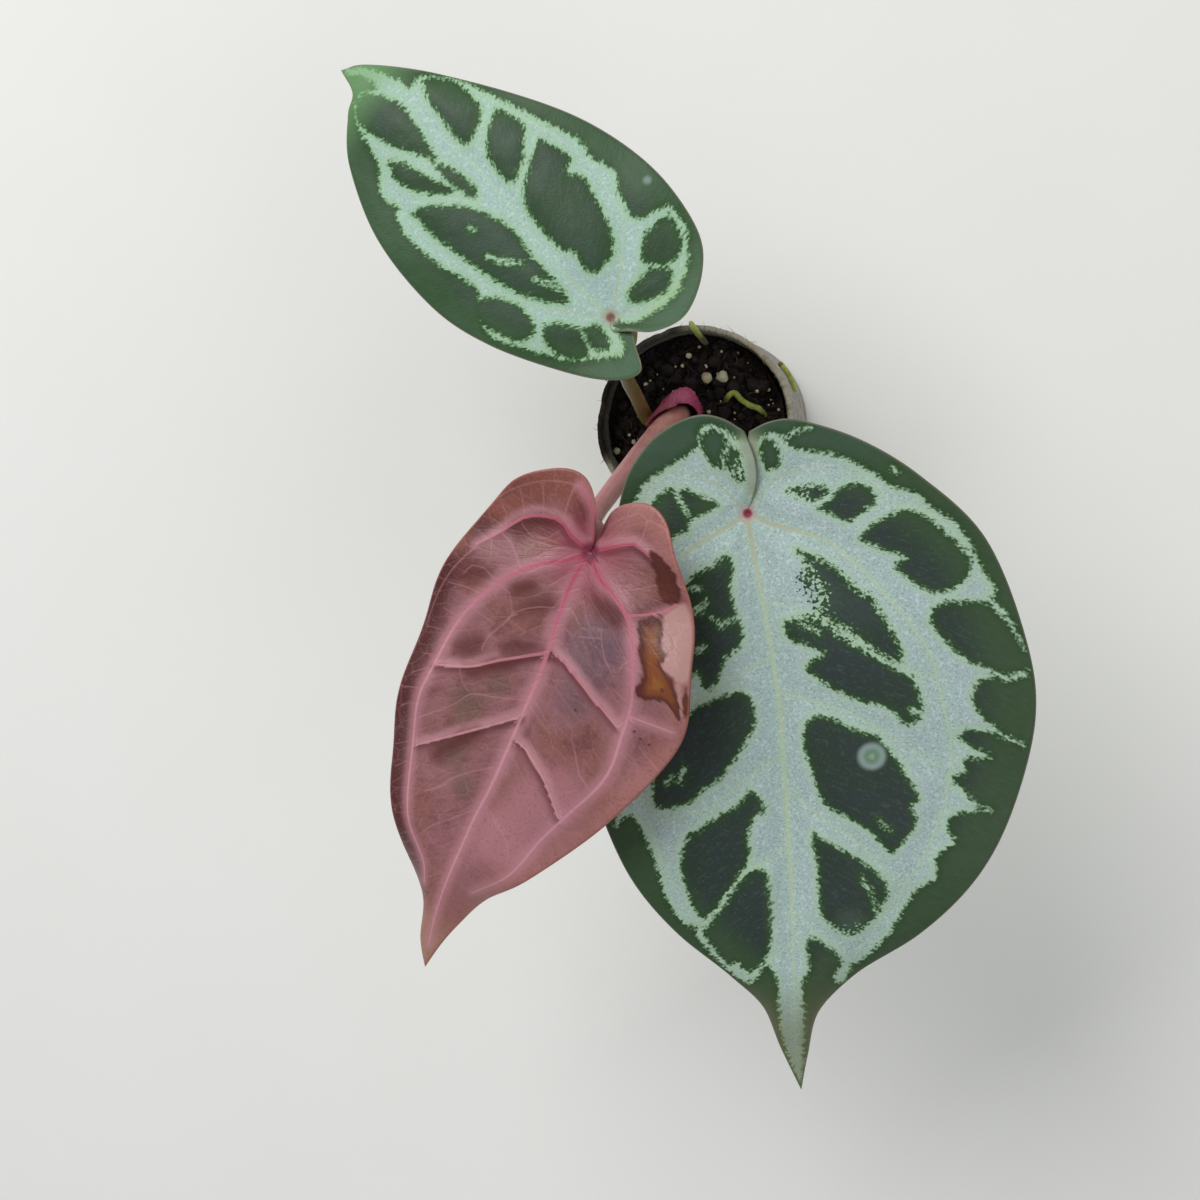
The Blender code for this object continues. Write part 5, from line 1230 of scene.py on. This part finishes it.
tone = lay_coats(tree, "#905f62", [
    (patchy, 0.46, 0.6, 0.75, "#87554b"),
    (streak, 0.46, 0.64, 0.45, "#7b4a4a"),
    (cloud, 0.5, 0.66, 0.55, "#96656a"),
    (cloud, 0.48, 0.34, 0.6, "#683a3a"),
    (field["grey"], 0.2, 0.9, 0.75, "#68525c"),
    (field["olive"], 0.2, 0.9, 0.7, "#6c5449"),
    (field["rosy"], 0.2, 0.9, 0.85, "#ae747c"),
    (field["margin"], 5.0, 1.2, off_left, "#4c1715"),
    (field["rusty"], 0.2, 0.9, 0.85, "#8c5044"),
    # Painted highlight: a pale pink band along the margin of the right-hand half.
    (field["margin"], 5.0, 1.0, painted_margin_highlight, "#b0746c"),
    (field["tipward"], 0.72, 0.95, 0.8, "#a9695f"),
    (field["tipward"], 0.82, 0.96, 0.6, "#a98c72"),
    (net, 0.06, 0.0, 0.15, "#b98084"),
    (speckle, 0.56, 0.72, 0.3, "#a9797c"),
    (speckle, 0.44, 0.3, 0.35, "#5f3637"),
    (field["glow"], -1.2, 0.5, 0.66, "#bb808a"),
    # Painted shade in dark red-brown on the tip side of the side veins, and a painted highlight in pale mauve
    # on their base side.
    (field["shaded"], 0.1, 0.9, 0.85, "#5a2725"),
    (field["shaded"], -0.1, -0.9, 0.5, "#c08c92"),
    (smudged, -0.2, 2.6, 0.8, "#541c19"),
    (off_thread, 1.3, 0.5, near_thread, "#c48b90"),
    (off_rib, 2.2, 0.8, near_rib, "#cf929b"),
    (off_rib, 2.6, 0.4, near_core, "#b14560"),
    (field["bleached"], -0.35, 0.35, 0.8, "#b98f89"),
    (jagged, 0.5, 0.9, 0.95, "#5a2612"),
    (jagged, 1.0, 1.8, 0.9, "#84471f"),
    (jagged, 2.0, 2.6, 0.5, "#a06a2c"),
    (field["rib_away"], 2.6, 0.9, burnt, "#54201a"),
    (field["marks"], 0.3, 0.8, 0.8, "#4a1c1a"),
    (field["margin"], 0.34, 0.1, 0.6, "#a85c50"),
    (field["stalk_away"], 9.0, 1.5, 0.45, "#98304a"),
    (field["stalk_away"], 1.8, 0.7, 0.95, "#6a1030")])
satin = add_node(tree, "ShaderNodeMapRange", {0: cloud, 1: 0.35, 2: 0.65, 3: 0.36, 4: 0.5})
tree.links.new(satin, shader.inputs["Roughness"])
quilt = add_node(tree, "ShaderNodeMapRange", {0: net, 1: 0.0, 2: 0.12, 4: 0.8})
relief = add_node(tree, "ShaderNodeMath", {0: quilt, 1: 1.0, 2: speckle}, operation="MULTIPLY_ADD")
finish_skin(tree, shader, tone, relief, 0.45, 0.1)

new_underside = leaf_underside("leaf_underside_new", "#a4706c", "#94605e", "#b8606c")
new_ribs = [NEW_MIDRIB] + NEW_COLLECTORS + NEW_LATERALS
leaf_piece = make_blade(
    "leaf_blade_new", NEW_LEAF, new_ribs,
    {"glow": lambda x, y: band_depth(new_ribs, x, y, 5.0),
     "thread_away": lambda x, y: line_fields(NEW_THREADS, x, y)[0],
     "thread_side": lambda x, y: line_fields(NEW_THREADS, x, y)[1],
     "scorch": lambda x, y: region_depth(NEW_SCORCH, x, y),
     "bleached": lambda x, y: np.maximum(region_depth([NEW_BLEACHED], x, y),
                                         band_depth([NEW_BLEACHED_LINE], x, y)),
     "dark": lambda x, y: np.maximum(region_depth(NEW_DARK, x, y), band_depth([NEW_DARK_LINE], x, y)),
     "shaded": painted_vein_light_and_shade(NEW_LATERALS[:6]),
     "grey": spots_field([(-6.5, 11, 5.5, 1), (-6, 20, 4.5, 0.6)]),
     "rosy": spots_field([(-8, 33, 5.5, 1), (-4, 43, 6, 1), (5, 47, 3, 0.5)]),
     "rusty": spots_field([(5, -8.5, 4, 1), (11, -6, 4, 1), (15, -1, 4, 1), (18, 7, 3, 0.7),
                           (-15, 2, 3, 0.6)]),
     "marks": spots_field([(-7.1, 20, 0.35, 1), (-15.3, 19.2, 0.3, 1), (-16.4, 19.8, 0.3, 1),
                           (-17.7, 20.2, 0.3, 1), (-11.8, 25.3, 0.3, 1), (-17.1, 11.6, 0.4, 1)]),
     "olive": spots_field([(8, 27, 3.4, 1), (4.5, 21.8, 2.2, 0.8), (7.5, 34, 3.0, 0.9),
                           (4, 38.5, 2.6, 0.8)]),
     "left_side": lambda x, y: ease(x / 8 + 0.5)},
    (new_skin, new_underside))
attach(leaf_piece, "root")
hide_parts("blade_new")


# The leaf stalks
# Round fleshy stalks, each with a shallow groove along its upper side and a thicker joint under its
# blade, where the leaf can turn. The newest one is pink and the older two are olive.
STALKS = {
    "small": {"leaf": SMALL_LEAF,
              "route": [(-6.3, 0.2, 33), (-6.8, 0.8, 41), (-6.9, 4.1, 52), (-7.1, 8.0, 62)],
              "radii": (1.15, 0.95), "bend": (0, -2.2, -5.0), "slot": "green_stalk",
              "tones": ("#6f5a2c", "#85702f", "#7c4c38", "#525c26", "#6a5c2c")},
    "large": {"leaf": LARGE_LEAF,
              "route": [(1.0, -1.5, 33), (1.4, -1.9, 41), (3.6, -3.8, 52), (7.6, -7.4, 66)],
              "radii": (1.45, 1.15), "bend": (0, -2.2, -5.0), "slot": "green_stalk",
              "tones": ("#7a6a45", "#8c7a4c", "#6b4a3a", "#5f6b3a", "#7a6a45")},
    "new": {"leaf": NEW_LEAF,
            "route": [(-2.2, 1.6, 39.75), (-2.4, 1.2, 44), (-4.2, -1.8, 52), (-6.6, -7.2, 67),
                      (-8.7, -12.2, 78)],
            "radii": (1.8, 1.15), "bend": (1.9, -1.4, -4.2), "slot": "new_stalk",
            "tones": ("#dc9288", "#e4a89c", "#c8787c", "#cc8880", "#8a5458")},
}
STALK_SWELL, SWELL_FROM = 1.25, 0.86  # how much thicker the joint is, and from which share of the way
STALK_CLEAR = 0.6  # the stalk's line ends this far below the blade's lower face
UPPER_FROM, UPPER_FULL = 50, 66  # the heights between which a stalk takes on its upper colour
STALK_RINGS, STALK_SIDES = 110, 28


def stalk_skin(name, base, light, tint, streak, upper):
    """Living stalk skin: waxy, with fine lengthwise streaks, faint mottling and its own tone higher up."""
    material, tree, shader = new_material(name, Roughness=0.42, Subsurface_Weight=0.12,
                                          Subsurface_Scale=0.0006, Subsurface_Radius=(1.0, 0.5, 0.3))
    place = add_node(tree, "ShaderNodeTexCoord", output="Object")
    lengthwise = add_node(tree, "ShaderNodeMapping", {"Vector": place, "Scale": (1, 1, 0.12)})
    streaks = add_node(tree, "ShaderNodeTexNoise", {"Vector": lengthwise, "Scale": 1 / (0.6 * MM),
                                                    "Detail": 4.0})
    mottle = add_node(tree, "ShaderNodeTexNoise", {"Vector": place, "Scale": 1 / (3 * MM), "Detail": 4.0})
    dots = add_node(tree, "ShaderNodeTexVoronoi", {"Vector": place, "Scale": 1 / (0.9 * MM)})
    height = add_node(tree, "ShaderNodeSeparateXYZ", {0: place}, output=2)
    tone = lay_coats(tree, base, [
        (streaks, 0.46, 0.62, 0.6, light), (mottle, 0.5, 0.66, 0.7, tint),
        (streaks, 0.46, 0.36, 0.5, streak), (height, UPPER_FROM * MM, UPPER_FULL * MM, 0.75, upper),
        (dots, 0.14, 0.06, 0.35, light)])
    finish_skin(tree, shader, tone, streaks, 0.3, 0.1)
    return material


for name, stalk in STALKS.items():
    leaf = stalk["leaf"]
    place = leaf_matrix(leaf)
    crown_of_blade = leaf["arch"] * float(ease(0.25)) * 0.85 - leaf["fold"] - leaf["pucker"]
    joint = [place @ (Vector(stalk["bend"]) + Vector((0, 0, crown_of_blade))),
             place @ Vector((0, 0.5, crown_of_blade - BLADE - 1.7)),
             place @ Vector((0, 0.9, crown_of_blade - BLADE - STALK_CLEAR))]
    line = smooth_path(stalk["route"] + [tuple(point) for point in joint], STALK_RINGS)
    share = np.linspace(0, 1, STALK_RINGS)
    low, high = stalk["radii"]
    radii = low + (high - low) * share
    radii *= 1 + (STALK_SWELL - 1) * ease((share - SWELL_FROM) / 0.08)
    radii *= np.sqrt(np.clip(1 - np.clip((share - 0.955) / 0.045, 0, 1) ** 2, 0, 1))
    radii[0] = 0
    bm = bmesh.new()
    for vertex, along, angle in add_tube(bm, line, radii, STALK_SIDES):
        middle = Vector(line[round(along * (STALK_RINGS - 1))])
        groove = 0.10 * math.exp(-((angle - 2.2) / 0.35) ** 2) - 0.02 * math.sin(9 * angle)
        lumps = 0.03 * noise.noise(vertex.co / 1.5)
        vertex.co = middle + (vertex.co - middle) * (1 - groove + lumps)
    close_seams(bm)
    piece = new_piece(f"stalk_grooved_{name}", bm, stalk_skin(f"stalk_skin_{name}", *stalk["tones"]))
    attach(piece, "root")
    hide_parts(f"stalk_{name}")


# The aerial roots
# Thick green roots that grow in the air above the peat: one humps across it, one climbs over the rim at
# the back, and one runs down the outside. Their velvety coat is lime where fresh and brown at the foot.
ROOTS = {
    "root_on_medium": [(4.4, 3.2, 35.6), (5.0, 4.2, 37.6), (6.1, 4.9, 38.0), (7.3, 3.8, 37.7),
                       (8.7, 2.9, 37.9), (9.9, 2.5, 37.7), (10.9, 1.3, 35.8)],
    "root_over_rim": [(1.5, 12.6, 35.6), (1.2, 13.1, 38.6), (0.5, 14.3, 41.4), (-0.2, 15.3, 40.7),
                      (-0.45, 15.65, 39.9)],
    "root_on_sleeve": [(12.9, 9.6, 37.6), (13.9, 8.4, 37.1), (14.8, 6.7, 35.8), (15.3, 5.2, 33.6)],
}
ROOT_RADIUS = 0.45
ROOT_RINGS, ROOT_SIDES = 60, 20
SOILED = {"root_on_medium": 0.24, "root_over_rim": 0.55, "root_on_sleeve": 0.1}  # the share that is brown

root_coat, tree, shader = new_material("velvety_root_coat", Roughness=0.6, Sheen_Weight=0.2,
                                       Sheen_Roughness=0.5, Subsurface_Weight=0.15,
                                       Subsurface_Scale=0.0005, Subsurface_Radius=(0.8, 1.0, 0.2))
# A spongy coat over green tissue: lime and yellow-green, brown where it is old, with a soft bloom.
place = add_node(tree, "ShaderNodeTexCoord", output="Object")
along = add_node(tree, "ShaderNodeAttribute", output=2, attribute_name="along")
mottle = add_node(tree, "ShaderNodeTexNoise", {"Vector": place, "Scale": 1 / (1.2 * MM), "Detail": 4.0})
fuzz = add_node(tree, "ShaderNodeTexNoise", {"Vector": place, "Scale": 1 / (0.25 * MM), "Detail": 2.0})
tone = lay_coats(tree, "#9aa646", [
    (mottle, 0.45, 0.65, 0.8, "#b4b856"), (mottle, 0.45, 0.32, 0.6, "#7a8838"),
    (fuzz, 0.56, 0.7, 0.3, "#c4c67a"), (along, 1.2, 0.8, 0.85, "#5c4326")])
finish_skin(tree, shader, tone, fuzz, 0.4, 0.06)

for name, route in ROOTS.items():
    line = smooth_path(route, ROOT_RINGS)
    share = np.linspace(-1, 1, ROOT_RINGS)
    radii = ROOT_RADIUS * (1 - 0.2 * share ** 4) * np.sqrt(np.clip(1 - np.abs(share) ** 24, 0, 1))
    bm = bmesh.new()
    along_layer = bm.verts.layers.float.new("along")
    for vertex, along_share, _ in add_tube(bm, line, radii, ROOT_SIDES):
        middle = Vector(line[round(along_share * (ROOT_RINGS - 1))])
        vertex.co = middle + (vertex.co - middle) * (1 + 0.16 * noise.noise(vertex.co / 1.1))
        vertex[along_layer] = along_share / SOILED[name]
    close_seams(bm)
    piece = new_piece(f"{name}_velvety", bm, root_coat)
    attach(piece, "root")
    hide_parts(name)
